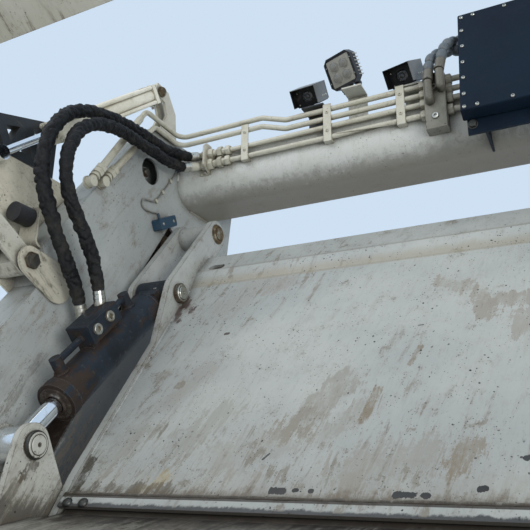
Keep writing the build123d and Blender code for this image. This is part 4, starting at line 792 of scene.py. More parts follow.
def facing(place: Triple, axis: Triple, turn: float = 0.0) -> Matrix:
    """A frame at a place whose third axis points along a direction."""
    third = Vector(axis).normalized()
    helper = Vector((1.0, 0.0, 0.0)) if abs(third.x) < 0.9 else Vector((0.0, 1.0, 0.0))
    first = (helper - helper.dot(third) * third).normalized()
    frame = Matrix((first, third.cross(first), third)).transposed().to_4x4()
    return Matrix.Translation(place) @ frame @ Matrix.Rotation(math.radians(turn), 4, "Z")


def device_frame(place: Triple, turn: Pair) -> Matrix:
    """A lamp's or camera's frame, turned by its yaw and pitch: its -Y looks out of it."""
    yaw, pitch = (math.radians(angle) for angle in turn)
    return Matrix.Translation(place) @ Matrix.Rotation(-yaw, 4, "Z") @ Matrix.Rotation(pitch, 4, "X")


def placed(name: str, data: Any) -> bpy.types.Object:
    """A new object in the scene for a mesh, a curve, a camera or a lamp."""
    made = bpy.data.objects.new(name, data)
    bpy.context.scene.collection.objects.link(made)
    return made


def smooth_line(route: Sequence[Triple], fineness: int) -> list[Vector]:
    """Points read from the NURBS spline whose control points are a route.

    Args:
        route: the control points.
        fineness: points for each control point.

    Returns:
        The points, first to last.
    """
    curve = bpy.data.curves.new("line", "CURVE")
    curve.dimensions = "3D"
    curve.resolution_u = fineness
    spline = curve.splines.new("NURBS")
    spline.points.add(len(route) - 1)
    for point, place in zip(spline.points, route):
        point.co = (*place, 1.0)
    spline.order_u = 3
    spline.use_endpoint_u = True
    carrier = placed("line", curve)
    mesh = bpy.data.meshes.new_from_object(carrier)
    points = [vertex.co.copy() for vertex in mesh.vertices]
    bpy.data.objects.remove(carrier)
    bpy.data.meshes.remove(mesh)
    bpy.data.curves.remove(curve)
    return points


def spaced(line: Sequence[Vector], step: float) -> list[Vector]:
    """The same line with its points an even distance apart."""
    marks = [0.0]
    for start, end in zip(line, line[1:]):
        marks.append(marks[-1] + (end - start).length)
    count = max(2, round(marks[-1] / step))
    points, index = [], 0
    for number in range(count + 1):
        mark = marks[-1] * number / count
        while index < len(marks) - 2 and marks[index + 1] < mark:
            index += 1
        share = (mark - marks[index]) / max(marks[index + 1] - marks[index], 1e-9)
        points.append(line[index].lerp(line[index + 1], min(max(share, 0.0), 1.0)))
    return points


SHARP_EDGE = math.radians(38)
WELD_STEP = 0.004


class Form:
    """A mesh made in the frame's own places from turned, swept and straight shapes."""

    def __init__(self) -> None:
        """Start empty."""
        self.mesh = bmesh.new()

    def _ring(self, places: Iterable[Vector]) -> list[bmesh.types.BMVert]:
        """New vertices at places."""
        return [self.mesh.verts.new(place) for place in places]

    def _skin(self, low: list[bmesh.types.BMVert], high: list[bmesh.types.BMVert]) -> None:
        """Faces between two rings; one of them may be a single point."""
        count = max(len(low), len(high))
        if len(low) == len(high) == 1:
            return
        for index in range(count):
            after = (index + 1) % count
            if len(low) == 1:
                self.mesh.faces.new((low[0], high[after], high[index]))
            elif len(high) == 1:
                self.mesh.faces.new((low[index], low[after], high[0]))
            else:
                self.mesh.faces.new((low[index], low[after], high[after], high[index]))

    def turned(self, frame: Matrix, profile: Sequence[Sequence[float]], size: float = 1.0,
               sides: int = 24) -> None:
        """Turn a profile about a frame's third axis.

        Args:
            frame: the frame.
            profile: (distance from the axis, height, corners) rows; 6 corners make a hexagon, and 0 or
                none a circle.
            size: what the distances and heights are multiplied by.
            sides: points in each ring, a multiple of 6.
        """
        rings = []
        for row in profile:
            radius, height, corners = row[0] * size, row[1] * size, row[2] if len(row) > 2 else 0
            if radius < 1e-7:
                rings.append(self._ring([frame @ Vector((0.0, 0.0, height))]))
                continue
            places = []
            for index in range(sides):
                angle = 2 * math.pi * index / sides
                reach = radius
                if corners:
                    sector = math.pi / corners
                    flat = math.cos(sector) / math.cos(angle % (2 * sector) - sector)
                    reach *= flat / math.cos(sector) * 0.95
                places.append(frame @ Vector((reach * math.cos(angle), reach * math.sin(angle), height)))
            rings.append(self._ring(places))
        for low, high in zip(rings, rings[1:]):
            self._skin(low, high)
        if len(rings[0]) > 1:
            self.mesh.faces.new(reversed(rings[0]))
        if len(rings[-1]) > 1:
            self.mesh.faces.new(rings[-1])

    def swept(self, line: Sequence[Vector], radius: Callable[[float, float], float],
              sides: int = 16) -> None:
        """Sweep a round section along a line.

        Args:
            line: its points.
            radius: the section's radius at a distance along the line and an angle round it.
            sides: points in each ring.
        """
        normal = (line[1] - line[0]).orthogonal().normalized()
        low: Optional[list[bmesh.types.BMVert]] = None
        first: list[bmesh.types.BMVert] = []
        reach = 0.0
        for index, point in enumerate(line):
            ahead = (line[min(index + 1, len(line) - 1)] - line[max(index - 1, 0)]).normalized()
            normal = (normal - normal.dot(ahead) * ahead).normalized()
            side = ahead.cross(normal)
            if index:
                reach += (point - line[index - 1]).length
            ring = self._ring(
                point + (normal * math.cos(angle) + side * math.sin(angle)) * radius(reach, angle)
                for angle in (2 * math.pi * number / sides for number in range(sides)))
            if low is None:
                first = ring
            else:
                self._skin(low, ring)
            low = ring
        self.mesh.faces.new(reversed(first))
        if low:
            self.mesh.faces.new(low)

    def weld(self, start: Triple, end: Triple, radius: float = 0.0045, pitch: float = 0.008) -> None:
        """A weld bead with its ripples between two places."""

        def bead(reach: float, _: float) -> float:
            """The bead's radius, rippled and a little uneven."""
            ripple = 0.07 * math.sin(2 * math.pi * reach / pitch)
            uneven = 0.4 * noise.noise((reach * 40, start[0] * 9, start[2] * 9))
            return radius * (1.0 + ripple + uneven)

        self.swept(spaced([Vector(start), Vector(end)], pitch / 3), bead, 8)

    def round_weld(self, frame: Matrix, ring: float, radius: float = 0.004) -> None:
        """A weld bead round a boss."""
        count = max(24, round(2 * math.pi * ring / WELD_STEP))
        rows = []
        for index in range(count):
            angle = 2 * math.pi * index / count
            swell = radius * (1.0 + 0.2 * math.sin(angle * count / 3))
            places = []
            for turn in (2 * math.pi * number / 6 for number in range(6)):
                out = ring + swell * math.cos(turn)
                places.append(frame @ Vector((out * math.cos(angle), out * math.sin(angle),
                                              swell * math.sin(turn))))
            rows.append(self._ring(places))
        for low, high in zip(rows, rows[1:] + rows[:1]):
            self._skin(low, high)

    def slab(self, frame: Matrix, size: Triple, bevel: float = 0.001) -> None:
        """A block with eased edges, centred on a frame."""
        made = bmesh.ops.create_cube(self.mesh, size=1.0, matrix=frame @ Matrix.Diagonal((*size, 1.0)))
        edges = list(dict.fromkeys(edge for vertex in made["verts"] for edge in vertex.link_edges))
        bmesh.ops.bevel(self.mesh, geom=edges, offset=bevel, segments=2, profile=0.7, affect="EDGES")

    def build(self, name: str, finish: bpy.types.Material, slot: str,
              body: Optional[str]) -> bpy.types.Object:
        """Make the object.

        Args:
            name: its name.
            finish: its material.
            slot: the name of a material slot in the record; not used.
            body: the body that it rides on, or None to leave it on no body.

        Returns:
            The object.
        """
        bmesh.ops.recalc_face_normals(self.mesh, faces=self.mesh.faces)
        for face in self.mesh.faces:
            face.smooth = True
        for edge in self.mesh.edges:
            if len(edge.link_faces) == 2 and edge.calc_face_angle(0.0) > SHARP_EDGE:
                edge.smooth = False
        data = bpy.data.meshes.new(name)
        self.mesh.to_mesh(data)
        self.mesh.free()
        made = placed(name, data)
        data.materials.append(finish)
        if body:
            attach(made, body)
        LOG.info("%s: %d faces on %s", name, len(data.polygons), body or "two bodies")
        return made


def pin_smears() -> tuple[Smear, ...]:
    """The dark red smears beside the plate's top, where the ears are welded on."""
    plate, maroon = LAYOUT.on_plate, shown(60, 26, 22)
    return (
        Smear(plate(-0.846, 0.760), plate(-0.800, 0.700), 0.017, maroon, 0.92, 0.9, 0.3),
        Smear(plate(-0.850, 0.720), plate(-0.835, 0.660), 0.011, maroon, 0.85, 0.9, 0.3),
        Smear(plate(0.846, 0.760), plate(0.800, 0.700), 0.015, maroon, 0.8, 0.9, 0.3),
    )


def plate_patches() -> tuple[Union[Smear, Band], ...]:
    """The dirt, worn patches and chips on the plate, from its top to its foot."""
    plate = LAYOUT.on_plate
    smoke, dusk, dried = shown(132, 128, 118), shown(148, 145, 138), shown(122, 110, 90)
    black = shown(40, 41, 43)
    up = aim(LAYOUT.plate_angle)
    ridge = LAYOUT.plate_length - LAYOUT.ridge_start
    return (
        Smear(plate(-0.300, 0.215), plate(-0.215, 0.350), 0.050, smoke, 0.62, 0.6, 0.5),
        Smear(plate(-0.360, 0.170), plate(-0.290, 0.235), 0.034, smoke, 0.6, 0.7, 0.5),
        Smear(plate(-0.235, 0.175), plate(-0.150, 0.260), 0.036, smoke, 0.5, 0.7, 0.6),
        Smear(plate(-0.145, 0.225), plate(-0.125, 0.310), 0.012, dried, 0.8, 0.5, 0.5),
        Smear(plate(-0.060, 0.390), plate(-0.040, 0.450), 0.007, dried, 0.8, 0.5, 0.5),
        Smear(plate(-0.010, 0.700), plate(0.060, 0.660), 0.026, dusk, 0.85, 0.7, 0.08),
        Smear(plate(0.090, 0.640), plate(0.110, 0.560), 0.026, dusk, 0.9, 0.7, 0.08),
        Smear(plate(0.140, 0.600), plate(0.200, 0.590), 0.024, dusk, 0.85, 0.7, 0.08),
        Smear(plate(0.210, 0.520), plate(0.260, 0.430), 0.040, dusk, 0.7, 0.8, 0.1),
        Smear(plate(-0.550, 0.770), plate(-0.480, 0.790), 0.026, dusk, 0.6, 0.8, 0.1),
        Smear(plate(0.060, 0.105), plate(0.085, 0.150), 0.030, dried, 0.62, 0.7, 0.5),
        Smear(plate(-0.160, 0.070), plate(0.000, 0.110), 0.060, dried, 0.34, 0.8, 0.6),
        Smear(plate(-0.470, 0.120), plate(-0.330, 0.170), 0.070, smoke, 0.42, 0.8, 0.6),
        Smear(plate(-0.611, 0.150), plate(-0.500, 0.260), 0.050, smoke, 0.42, 0.9, 0.6),
        Smear(plate(-0.800, 0.090), plate(-0.740, 0.210), 0.045, smoke, 0.5, 0.8, 0.6),
        Smear(plate(-0.700, 0.300), plate(-0.620, 0.420), 0.035, dusk, 0.5, 0.9, 0.3),
        Smear(plate(-0.776, 0.398), plate(-0.760, 0.412), 0.020, smoke, 0.85, 0.6, 0.1),
        Smear(plate(-0.700, 0.360), plate(-0.690, 0.368), 0.010, smoke, 0.8, 0.6, 0.1),
        Smear(plate(-0.625, 0.568), plate(-0.616, 0.569), 0.006, OLD_RUST, 0.9, 0.3, 0.2),
        Smear(plate(-0.660, 0.700), plate(-0.560, 0.840), 0.050, dusk, 0.4, 0.9, 0.5),
        Smear(plate(-0.640, 0.026), plate(-0.600, 0.060), 0.020, shown(176, 158, 104), 0.5, 0.6, 0.6),
        *pin_smears(),
        Band(plate(0.0, ridge + 0.006), up, 0.036, shown(150, 144, 126), 0.6, 0.3, 0.016),
        Band(plate(0.0, ridge + 0.066), up, 0.008, dried, 0.35, 0.8, 0.004),
        Band(plate(0.0, 0.008), up, 0.100, dried, 0.26, 0.9, 0.003),
        Band(plate(0.0, 0.006), up, 0.036, shown(96, 84, 66), 0.75, 0.7, 0.004),
        Band(plate(0.0, 0.003), up, 0.008, shown(44, 36, 28), 0.9, 0.3, 0.006),
        Smear(plate(-0.312, 0.034), plate(-0.288, 0.033), 0.010, black, 1.0, 0.3, 0.1),
        Smear(plate(-0.262, 0.036), plate(-0.257, 0.036), 0.007, black, 1.0, 0.3, 0.1),
        Smear(plate(-0.226, 0.035), plate(-0.223, 0.035), 0.006, black, 1.0, 0.16, 0.1),
        Smear(plate(-0.046, 0.030), plate(-0.014, 0.030), 0.008, black, 1.0, 0.3, 0.1),
        Smear(plate(0.008, 0.030), plate(0.014, 0.029), 0.008, black, 1.0, 0.3, 0.1),
        Smear(plate(0.110, 0.045), plate(0.118, 0.048), 0.007, black, 1.0, 0.2, 0.1),
        Smear(plate(0.192, 0.116), plate(0.212, 0.124), 0.007, black, 0.95, 0.2, 0.1),
        Smear(plate(-0.360, 0.115), plate(-0.348, 0.130), 0.003, black, 0.9, 0.3, 0.1),
        Smear(plate(-0.052, 0.528), plate(-0.040, 0.529), 0.003, black, 0.8, 0.3, 0.1),
        Band(plate(0.0, -0.023), up, 0.007, shown(58, 60, 63), 0.96, 0.8),
        Smear(plate(-0.850, 0.012), plate(-0.846, 0.100), 0.022, shown(60, 54, 44), 0.85, 0.8, 0.5),
        Smear(plate(-0.800, 0.030), plate(-0.560, 0.034), 0.016, shown(84, 76, 62), 0.7, 0.8, 0.5),
        Smear(plate(0.850, 0.012), plate(0.846, 0.100), 0.022, shown(60, 54, 44), 0.85, 0.8, 0.5),
        Band(plate(0.0, 0.0, -0.004), aim(LAYOUT.plate_angle + 90.0), 0.003, shown(54, 52, 50), 0.85, 0.6),
    )


class Finishes:
    """Every material of the tailgate, by name."""

    def __init__(self) -> None:
        """Build them."""
        wall = -LAYOUT.inner_half
        white, cool = shown(178, 185, 184), shown(162, 169, 170)
        # mud is dirt; dark is the painted shade on the inner walls behind the plate's edge.
        mud, dark = shown(92, 84, 70), shown(46, 44, 40)
        axis, down = (0.0, *LAYOUT.lower_roller), aim(LAYOUT.blade_angle)
        film, lid = shown(104, 102, 94), shown(186, 188, 184)
        self.plate = Paint("plate_paint", shown(176, 183, 182), shown(160, 167, 168), shown(124, 119, 108),
                           lean=12.0, runs=0.55, smudges=0.62, specks=1.0, patches=plate_patches()).build()
        self.ears = Paint("ear_paint", shown(178, 184, 183), shown(164, 168, 166), shown(124, 119, 108),
                          runs=0.45, smudges=0.45, chips=0.9, patches=pin_smears()).build()
        wall_shade_and_dirt_patches = (
            # The two wide dark smears are painted shade on each inner wall behind the plate's edge; the brown
            # one is dirt.
            Smear((wall, -0.60, -0.93), (wall, -1.00, -1.47), 0.150, dark, 0.88, 0.22, 0.5),
            Smear((wall, -0.80, -1.28), (wall, -0.93, -1.42), 0.070, shown(104, 88, 66), 0.6, 0.9, 0.5),
            Smear((-wall, -0.60, -0.93), (-wall, -1.00, -1.47), 0.150, dark, 0.88, 0.22, 0.5),
            Smear((wall, -1.080, -1.080), (wall, -1.180, -1.240), 0.022, mud, 0.45, 0.9, 0.6),
            Smear((wall, -1.020, -0.842), (wall, -1.035, -0.850), 0.014, shown(128, 124, 113), 0.7, 0.8),
            Band((0.0, -1.22, -1.42), (0.0, 0.62, 0.78), 0.30, GRIME, 0.3, 0.9))
        self.walls = Paint("wall_paint", white, cool, shown(132, 126, 114), runs=0.3, smudges=0.32,
                           specks=0.8, patches=wall_shade_and_dirt_patches).build()
        self.skins = Paint("skin_paint", white, cool, shown(124, 118, 106), runs=0.5, smudges=0.5,
                           specks=0.6).build()
        # The beam's downward-facing lower part is beige-grey, and darker again lower down: painted shade, with
        # some dirt.
        beam_shade_and_dirt_patches = (
            Band((0.0, 0.0, -0.318), (0.0, -0.15, 0.99), 0.05, shown(164, 158, 136), 0.62, 0.14),
            Band((0.0, 0.0, -0.345), (0.0, 0.0, 1.0), 0.04, shown(100, 94, 80), 0.5, 0.5))
        self.beam = Paint("beam_paint", shown(214, 219, 218), shown(202, 206, 202), shown(158, 152, 132),
                          run_angle=90.0, runs=0.34, smudges=0.2, specks=0.5, chips=0.35, corner_dirt_and_shade=0.6,
                          gloss=0.32, dents=0.0006, patches=beam_shade_and_dirt_patches).build()
        ear_patches = (
            Smear((-0.880, -1.250, -1.372), (-0.880, -1.262, -1.395), 0.020, shown(70, 62, 50),
                  0.8, 0.8, 0.4),
            Band((0.0, 0.0, -1.475), (0.0, 0.0, 1.0), 0.10, mud, 0.7, 1.0),
            Band((0.0, 0.0, -1.49), (0.0, 0.0, 1.0), 0.05, SOOT, 0.5, 1.0))
        self.blade_ears = Paint("blade_ear_paint", shown(188, 191, 186), shown(176, 178, 172), chips=0.9,
                                runs=0.4, smudges=0.5, specks=0.9, patches=ear_patches).build()
        self.cream = Paint("cream_paint", shown(206, 206, 194), shown(194, 193, 178), shown(140, 130, 102),
                           runs=0.35, smudges=0.25, specks=0.35, chips=0.35, gloss=0.36,
                           dents=0.0003).build()
        stand_patches = (
            Band((-0.43, 0.0, 0.0), (1.0, 0.0, 0.0), 0.004, shown(30, 40, 50), 0.97, 0.0),)
        self.stands = Paint("stand_paint", shown(200, 203, 196), shown(188, 190, 182), shown(120, 112, 92),
                            runs=0.35, smudges=0.2, specks=0.3, chips=0.3, patches=stand_patches).build()
        manifold_patches = (
            Band((0.0, -0.503, 0.0), (0.0, 1.0, 0.0), 0.003, film, 0.85, 0.3),
            Band((0.0, 0.0, -0.093), (0.0, 0.0, -1.0), 0.003, film, 0.85, 0.3))
        self.manifold = Paint("manifold_paint", shown(146, 147, 138), shown(122, 122, 112),
                              shown(92, 88, 78), runs=0.6, smudges=0.9, specks=0.8, chips=0.8, corner_dirt_and_shade=1.0,
                              patches=manifold_patches).build()
        # The cream paint made brighter and warmer for the air cylinders' barrels: painted sunlight.
        self.painted_sunlight_cream = Paint("air_cylinder_painted_sunlight", shown(250, 249, 236), shown(240, 238, 222),
                            shown(186, 176, 148), runs=0.3, smudges=0.15, specks=0.25, chips=0.3,
                            gloss=0.3, dents=0.0003).build()
        self.cheeks = Paint("cheek_paint", shown(206, 203, 188), shown(188, 186, 172), shown(96, 90, 78),
                            run_angle=LAYOUT.cover_angle, runs=0.6, smudges=0.6, specks=0.9,
                            chips=0.7).build()
        self.channels = Paint("channel_paint", shown(194, 196, 188), shown(176, 176, 164), GRIME,
                              run_angle=LAYOUT.cover_angle, runs=0.6, smudges=0.6, chips=0.7).build()
        self.floor = Steel("floor_steel", shown(138, 136, 132), rusted=0.55, polish=0.42, run_angle=20.0,
                           pits=0.0008).build()
        blade_patches = (
            Band(axis, down, 0.30, shown(60, 52, 44), 0.97, 0.5),
            Band(axis, down, 0.16, shown(44, 40, 36), 0.9, 0.5))
        self.blade = Paint("blade_paint", shown(186, 188, 182), shown(150, 147, 138), shown(80, 72, 62),
                           run_angle=LAYOUT.blade_angle, runs=0.7, smudges=0.9, specks=0.9, chips=1.0,
                           patches=blade_patches).build()
        self.edge = Steel("edge_steel", shown(150, 148, 144), rusted=0.35, polish=0.36,
                          run_angle=LAYOUT.blade_angle).build()
        self.pins = Steel("pin_steel", shown(120, 118, 110), shown(84, 66, 48), rusted=0.42,
                          polish=0.42).build()
        self.bolts = Steel("bolt_steel", shown(84, 84, 80), shown(58, 48, 38), rusted=0.35,
                           polish=0.45).build()
        self.old_pins = Steel("old_pin_steel", shown(160, 156, 140), shown(112, 96, 72), rusted=0.6,
                              polish=0.46).build()
        self.zinc = Steel("zinc_plating", shown(192, 191, 182), shown(120, 112, 94), rusted=0.25, polish=0.3,
                          scratches=0.3, pits=0.0002).build()
        self.sooty = Steel("sooty_zinc", shown(128, 126, 118), shown(54, 50, 44), rusted=0.5,
                           polish=0.4).build()
        self.rollers = Steel("roller_steel", shown(120, 116, 110), OLD_RUST, rusted=0.6, polish=0.42).build()
        self.primer = Primer().build()
        self.chrome = Chrome().build()
        self.cloth = Cloth().build()
        self.rubber = Moulding("black_rubber", shown(34, 34, 37), shown(78, 74, 68), 0.62, 0.5,
                               300.0, 0.0003).build()
        box_patches = (Band((0.0, 0.0, -0.3795), (0.0, 0.0, 1.0), 0.0015, lid, 1.0, 0.0),)
        self.box = Paint("box_paint", shown(18, 34, 50), shown(14, 26, 40), shown(36, 44, 54),
                         under=shown(80, 84, 88), runs=0.2, smudges=0.15, specks=0.1, chips=0.2,
                         corner_dirt_and_shade=0.2, gloss=0.5, dents=0.0004, shine=0.1, patches=box_patches).build()
        self.lattice = Paint("lattice_paint", shown(38, 46, 54), shown(28, 34, 41), shown(80, 78, 70),
                             run_angle=160.0, runs=0.3, chips=0.4, specks=0.2,
                             under=shown(90, 80, 68)).build()
        self.stops = Moulding("stop_rubber", shown(30, 31, 36), shown(84, 76, 66), 0.55, 0.7,
                              260.0, 0.0004).build()
        self.blue = Moulding("sensor_plastic", shown(36, 66, 88), shown(80, 90, 94), 0.42, 0.5).build()
        self.lamp = Moulding("lamp_housing", shown(22, 23, 26), shown(80, 80, 78), 0.42, 0.4).build()
        self.shell = CameraShell().build()
        self.lens_plate = Moulding("lens_plate", shown(150, 150, 142), shown(120, 119, 112),
                                   0.3, 0.3).build()
        self.fins = Moulding("lamp_fins", shown(186, 187, 184), shown(120, 120, 116), 0.4, 0.4).build()
        self.cable = Moulding("hose_guard", shown(92, 101, 108), shown(150, 156, 158), 0.42, 0.9).build()
        self.lead = Moulding("lead_jacket", shown(132, 134, 130), shown(90, 88, 80), 0.5, 0.5).build()


class Dresser:
    """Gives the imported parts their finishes."""

    def __init__(self, finishes: Finishes, nodes: Mapping[str, bpy.types.Object]) -> None:
        """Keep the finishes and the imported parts."""
        self.finishes = finishes
        self.nodes = nodes

    def table(self) -> dict[str, bpy.types.Material]:
        """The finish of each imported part, by its name without the side."""
        own = self.finishes
        return {
            "wall_inner": own.walls, "wall_outer": own.skins, "wall_frame": own.walls,
            "guide_rails": own.rollers,
            "hopper_floor": own.floor, "load_sill": own.channels, "cross_beam": own.beam,
            "roof_sheet": own.skins,
            "portal_header": own.skins, "hinge_lugs": own.skins, "latch_lugs": own.skins,
            "carriage_plate": own.plate, "carriage_inner_ears": own.ears, "carriage_outer_ears": own.ears,
            "carriage_bosses": own.ears, "upper_axles": own.old_pins, "lower_axles": own.pins,
            "guide_rollers": own.rollers, "barrel_pins": own.pins, "blade": own.blade,
            "blade_edge": own.edge,
            "blade_ears": own.blade_ears, "blade_pins": own.pins, "blade_cylinder_barrel": own.primer,
            "blade_cylinder_rod": own.chrome, "cover_arms": own.cheeks, "cover_tube": own.channels,
            "cover_sheet": own.channels, "cover_trusses": own.lattice, "cover_brackets": own.cheeks,
            "rubber_stops": own.stops, "cover_pivots": own.pins, "cover_rod_pins": own.pins,
            "air_cylinder_barrel": own.painted_sunlight_cream, "air_cylinder_rod": own.chrome,
            "gooseneck_brackets": own.cream,
            "air_base_pins": own.old_pins, "hydraulic_tubes": own.cream, "bulkhead_brackets": own.cream,
            "manifold_block": own.manifold, "control_box": own.box, "work_lamp": own.lamp,
            "cameras": own.shell,
            "equipment_brackets": own.stands, "position_sensor": own.blue, "tail_lamps": own.lamp,
        }

    def dress(self) -> None:
        """Put each part's finish in its slots."""
        table = self.table()
        for name, node in self.nodes.items():
            plain = name.removeprefix("left_").removeprefix("right_")
            if plain not in table:
                LOG.info("%s keeps its packed finish", name)
                continue
            for place in node.material_slots:
                place.material = table[plain]


# Hoses


FINENESS = 16


class Far(Enum):
    """What a hose ends in."""

    OBJECT = "object"


@dataclass(frozen=True)
class SleevedHose:
    """A hydraulic hose in a loose sleeve: the main run, and a last stretch made as a piece of its own."""

    name: str
    route: tuple[Triple, ...]
    length: float
    radius: float = 0.020
    tail: float = 0.085
    seed: float = 0.0
    seam: float = 2.1
    sides: int = 44
    step: float = 0.0028
    bunch_depth: float = 0.0115
    crease_depth: float = 0.0052
    sway_depth: float = 0.0026
    fold_mean: float = 0.0036
    seam_height: float = 0.0024
    seam_width: float = 0.12
    tie_place: float = 0.016
    tie_width: float = 0.005
    tie_depth: float = 0.0022
    hem_width: float = 0.006
    hem_depth: float = 0.002

    def _cuff(self, reach: float, total: float) -> float:
        """How much the sleeve is drawn in at its tied ends."""
        gap = min(reach, total - reach)
        tie = math.exp(-((gap - self.tie_place) / self.tie_width) ** 2)
        return self.tie_depth * tie + self.hem_depth * max(0.0, 1.0 - gap / self.hem_width)

    def radius_at(self, reach: float, angle: float, total: float) -> float:
        """The sleeve's radius.

        Args:
            reach: how far along the hose.
            angle: where round it, in radians.
            total: the line's length.

        Returns:
            The radius in metres.
        """
        spin_x, spin_y = math.cos(angle), math.sin(angle)
        skew = reach + 0.006 * math.sin(angle + 9.0 * reach + self.seed)
        bunch = abs(noise.noise((spin_x * 0.8, spin_y * 0.8, skew * 40.0 + self.seed)))
        crease = abs(noise.noise((spin_x * 1.6 + 5.0, spin_y * 1.6, skew * 84.0 + self.seed)))
        sway = noise.noise((spin_x * 0.5, spin_y * 0.5 + 9.0, reach * 12.0 + self.seed))
        turn = (angle - self.seam - 0.5 * math.sin(reach * 5.0) + math.pi) % (2 * math.pi) - math.pi
        ridge = math.exp(-(turn / self.seam_width) ** 2)
        quiet = min(1.0, 0.25 + min(reach, total - reach) / 0.04)
        folds = (self.bunch_depth * min(bunch, 0.42) + self.crease_depth * min(crease, 0.4)
                 + self.sway_depth * sway - self.fold_mean)
        return self.radius + quiet * folds + self.seam_height * ridge * quiet - self._cuff(reach, total)

    def build(self, side: int, word: str, cloth: bpy.types.Material) -> None:
        route = tuple((side * x, y, z) for x, y, z in self.route)
        line = spaced(smooth_line(route, FINENESS), self.step)
        marks = [0.0]
        for start, end in zip(line, line[1:]):
            marks.append(marks[-1] + (end - start).length)
        total = marks[-1]
        split = next(index for index, mark in enumerate(marks) if mark > total - self.tail)
        main, tail = Form(), Form()
        main.swept(line[:split + 1],
                   lambda reach, angle: self.radius_at(reach, side * angle, total), self.sides)
        begin = marks[split - 1]
        tail.swept(line[split - 1:],
                   lambda reach, angle: self.radius_at(begin + reach, side * angle, total), self.sides)
        name = f"{word}_{self.name}_sleeve"
        run = main.build(name, cloth, "black_sleeve", None)
        end = tail.build(f"{name}_end", cloth, "black_sleeve", None)
        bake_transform(run)
        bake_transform(end)
        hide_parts(f"{word}_{self.name}_hose")
        [tuple(point) for point in line[:split + 1]]
        LOG.info("%s: %.3f m of line, %.3f m to its end piece", name, total, marks[split])


@dataclass(frozen=True)
class FixedHose:
    """A hose or lead that lies wholly on the tailgate."""

    node: str
    name: str
    route: tuple[Triple, ...]
    length: float
    radius: float
    guard: float = 0.0
    stiffness: str = "stiff"
    slot: str = "black_rubber"
    rib_pitch: float = 0.042
    flute_depth: float = 0.0004

    def build(self, finish: bpy.types.Material) -> None:
        line = spaced(smooth_line(self.route, FINENESS), max(0.0025, self.radius / 4))

        def ribs(reach: float, angle: float) -> float:
            """The guard's bulging segments, each fluted along its length."""
            bulge = abs(math.sin(math.pi * reach / self.rib_pitch)) ** 0.45
            flute = self.flute_depth * math.sin(18.0 * angle) if self.guard else 0.0
            return self.radius + self.guard * (1.8 * bulge - 1.0) + flute

        form = Form()
        form.swept(line, ribs, 72 if self.guard else 14)
        piece = form.build(self.name, finish, self.slot, "tailgate")
        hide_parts(self.node)


OUTER_HOSE = SleevedHose("outer", (
    (0.9904, -0.5035, -0.195), (1.011, -0.553, -0.206), (1.025, -0.628, -0.212), (1.030, -0.728, -0.210),
    (1.0305, -0.858, -0.221), (1.027, -0.990, -0.250), (1.016, -1.088, -0.296), (1.006, -1.172, -0.362),
    (1.000, -1.222, -0.452), (1.000, -1.236, -0.548), (1.000, -1.205, -0.640), (1.000, -1.150, -0.735),
    (1.000, -1.093, -0.812), (1.002, -1.048, -0.865), (1.004, -1.024, -0.912)), 1.332, seed=3.0, seam=2.0)
INNER_HOSE = SleevedHose("inner", (
    (1.0078, -0.5242, -0.245), (1.016, -0.575, -0.254), (1.014, -0.650, -0.262), (1.008, -0.735, -0.268),
    (1.003, -0.836, -0.276), (0.998, -0.940, -0.290), (0.986, -1.035, -0.322), (0.972, -1.115, -0.378),
    (0.962, -1.166, -0.448), (0.960, -1.186, -0.530), (0.960, -1.166, -0.612), (0.960, -1.112, -0.683),
    (0.959, -1.058, -0.748), (0.957, -1.017, -0.815), (0.955, -1.002, -0.872)), 1.181, seed=17.0, seam=4.4)
FIRST_SUPPLY = FixedHose("first_supply_hose", "first_supply_guard", (
    (-0.040, -0.516, -0.095), (-0.037, -0.504, -0.046), (-0.020, -0.478, -0.008), (0.020, -0.444, 0.014),
    (0.080, -0.412, 0.024), (0.150, -0.386, 0.022), (0.222, -0.372, 0.012)), 0.371, 0.014, 0.0055)
SECOND_SUPPLY = FixedHose("second_supply_hose", "second_supply_guard", (
    (0.004, -0.516, -0.062), (0.012, -0.504, -0.012), (0.026, -0.464, 0.036), (0.052, -0.404, 0.074),
    (0.110, -0.376, 0.094), (0.170, -0.366, 0.096), (0.222, -0.360, 0.086)), 0.369, 0.014, 0.0055)
LEAD_X = -1.0755
SENSOR_LEAD = FixedHose("sensor_cable", "sensor_lead", (
    (LEAD_X, -0.574, -0.446), (LEAD_X, -0.603, -0.455), (LEAD_X, -0.633, -0.459), (LEAD_X, -0.663, -0.460),
    (LEAD_X, -0.675, -0.4483), (LEAD_X, -0.675, -0.4317), (LEAD_X, -0.663, -0.420), (LEAD_X, -0.632, -0.417),
    (LEAD_X, -0.600, -0.409), (LEAD_X, -0.574, -0.381), (LEAD_X, -0.546, -0.340), (LEAD_X, -0.518, -0.302),
    (LEAD_X, -0.490, -0.262), (LEAD_X, -0.468, -0.226)), 0.427, 0.003, stiffness="limp")


# Small fittings


@dataclass(frozen=True)
class Fitting:
    """One small fitting: its profile, size and place."""

    head: Head
    size: float
    place: Triple
    axis: Triple
    turn: float = 0.0


@dataclass
class FittingSet:
    """Small fittings of one finish on one body."""

    name: str
    body: str
    slot: str
    fittings: list[Fitting] = field(default_factory=list)

    def add(self, head: Head, size: float, place: Triple, axis: Triple, turn: float = 0.0) -> None:
        """Add one fitting."""
        self.fittings.append(Fitting(head, size, place, axis, turn))

    def pair(self, head: Head, size: float, place: Triple, axis: Triple, turn: float = 0.0) -> None:
        """Add a fitting on both sides of the truck."""
        for side in BOTH:
            self.add(head, size, (side * place[0], *place[1:]), (side * axis[0], *axis[1:]), turn)

    def build(self, finish: bpy.types.Material) -> None:
        """Make them as one piece."""
        form = Form()
        for one in self.fittings:
            form.turned(facing(one.place, one.axis, one.turn), one.head.value, one.size)
        form.build(self.name, finish, self.slot, self.body)


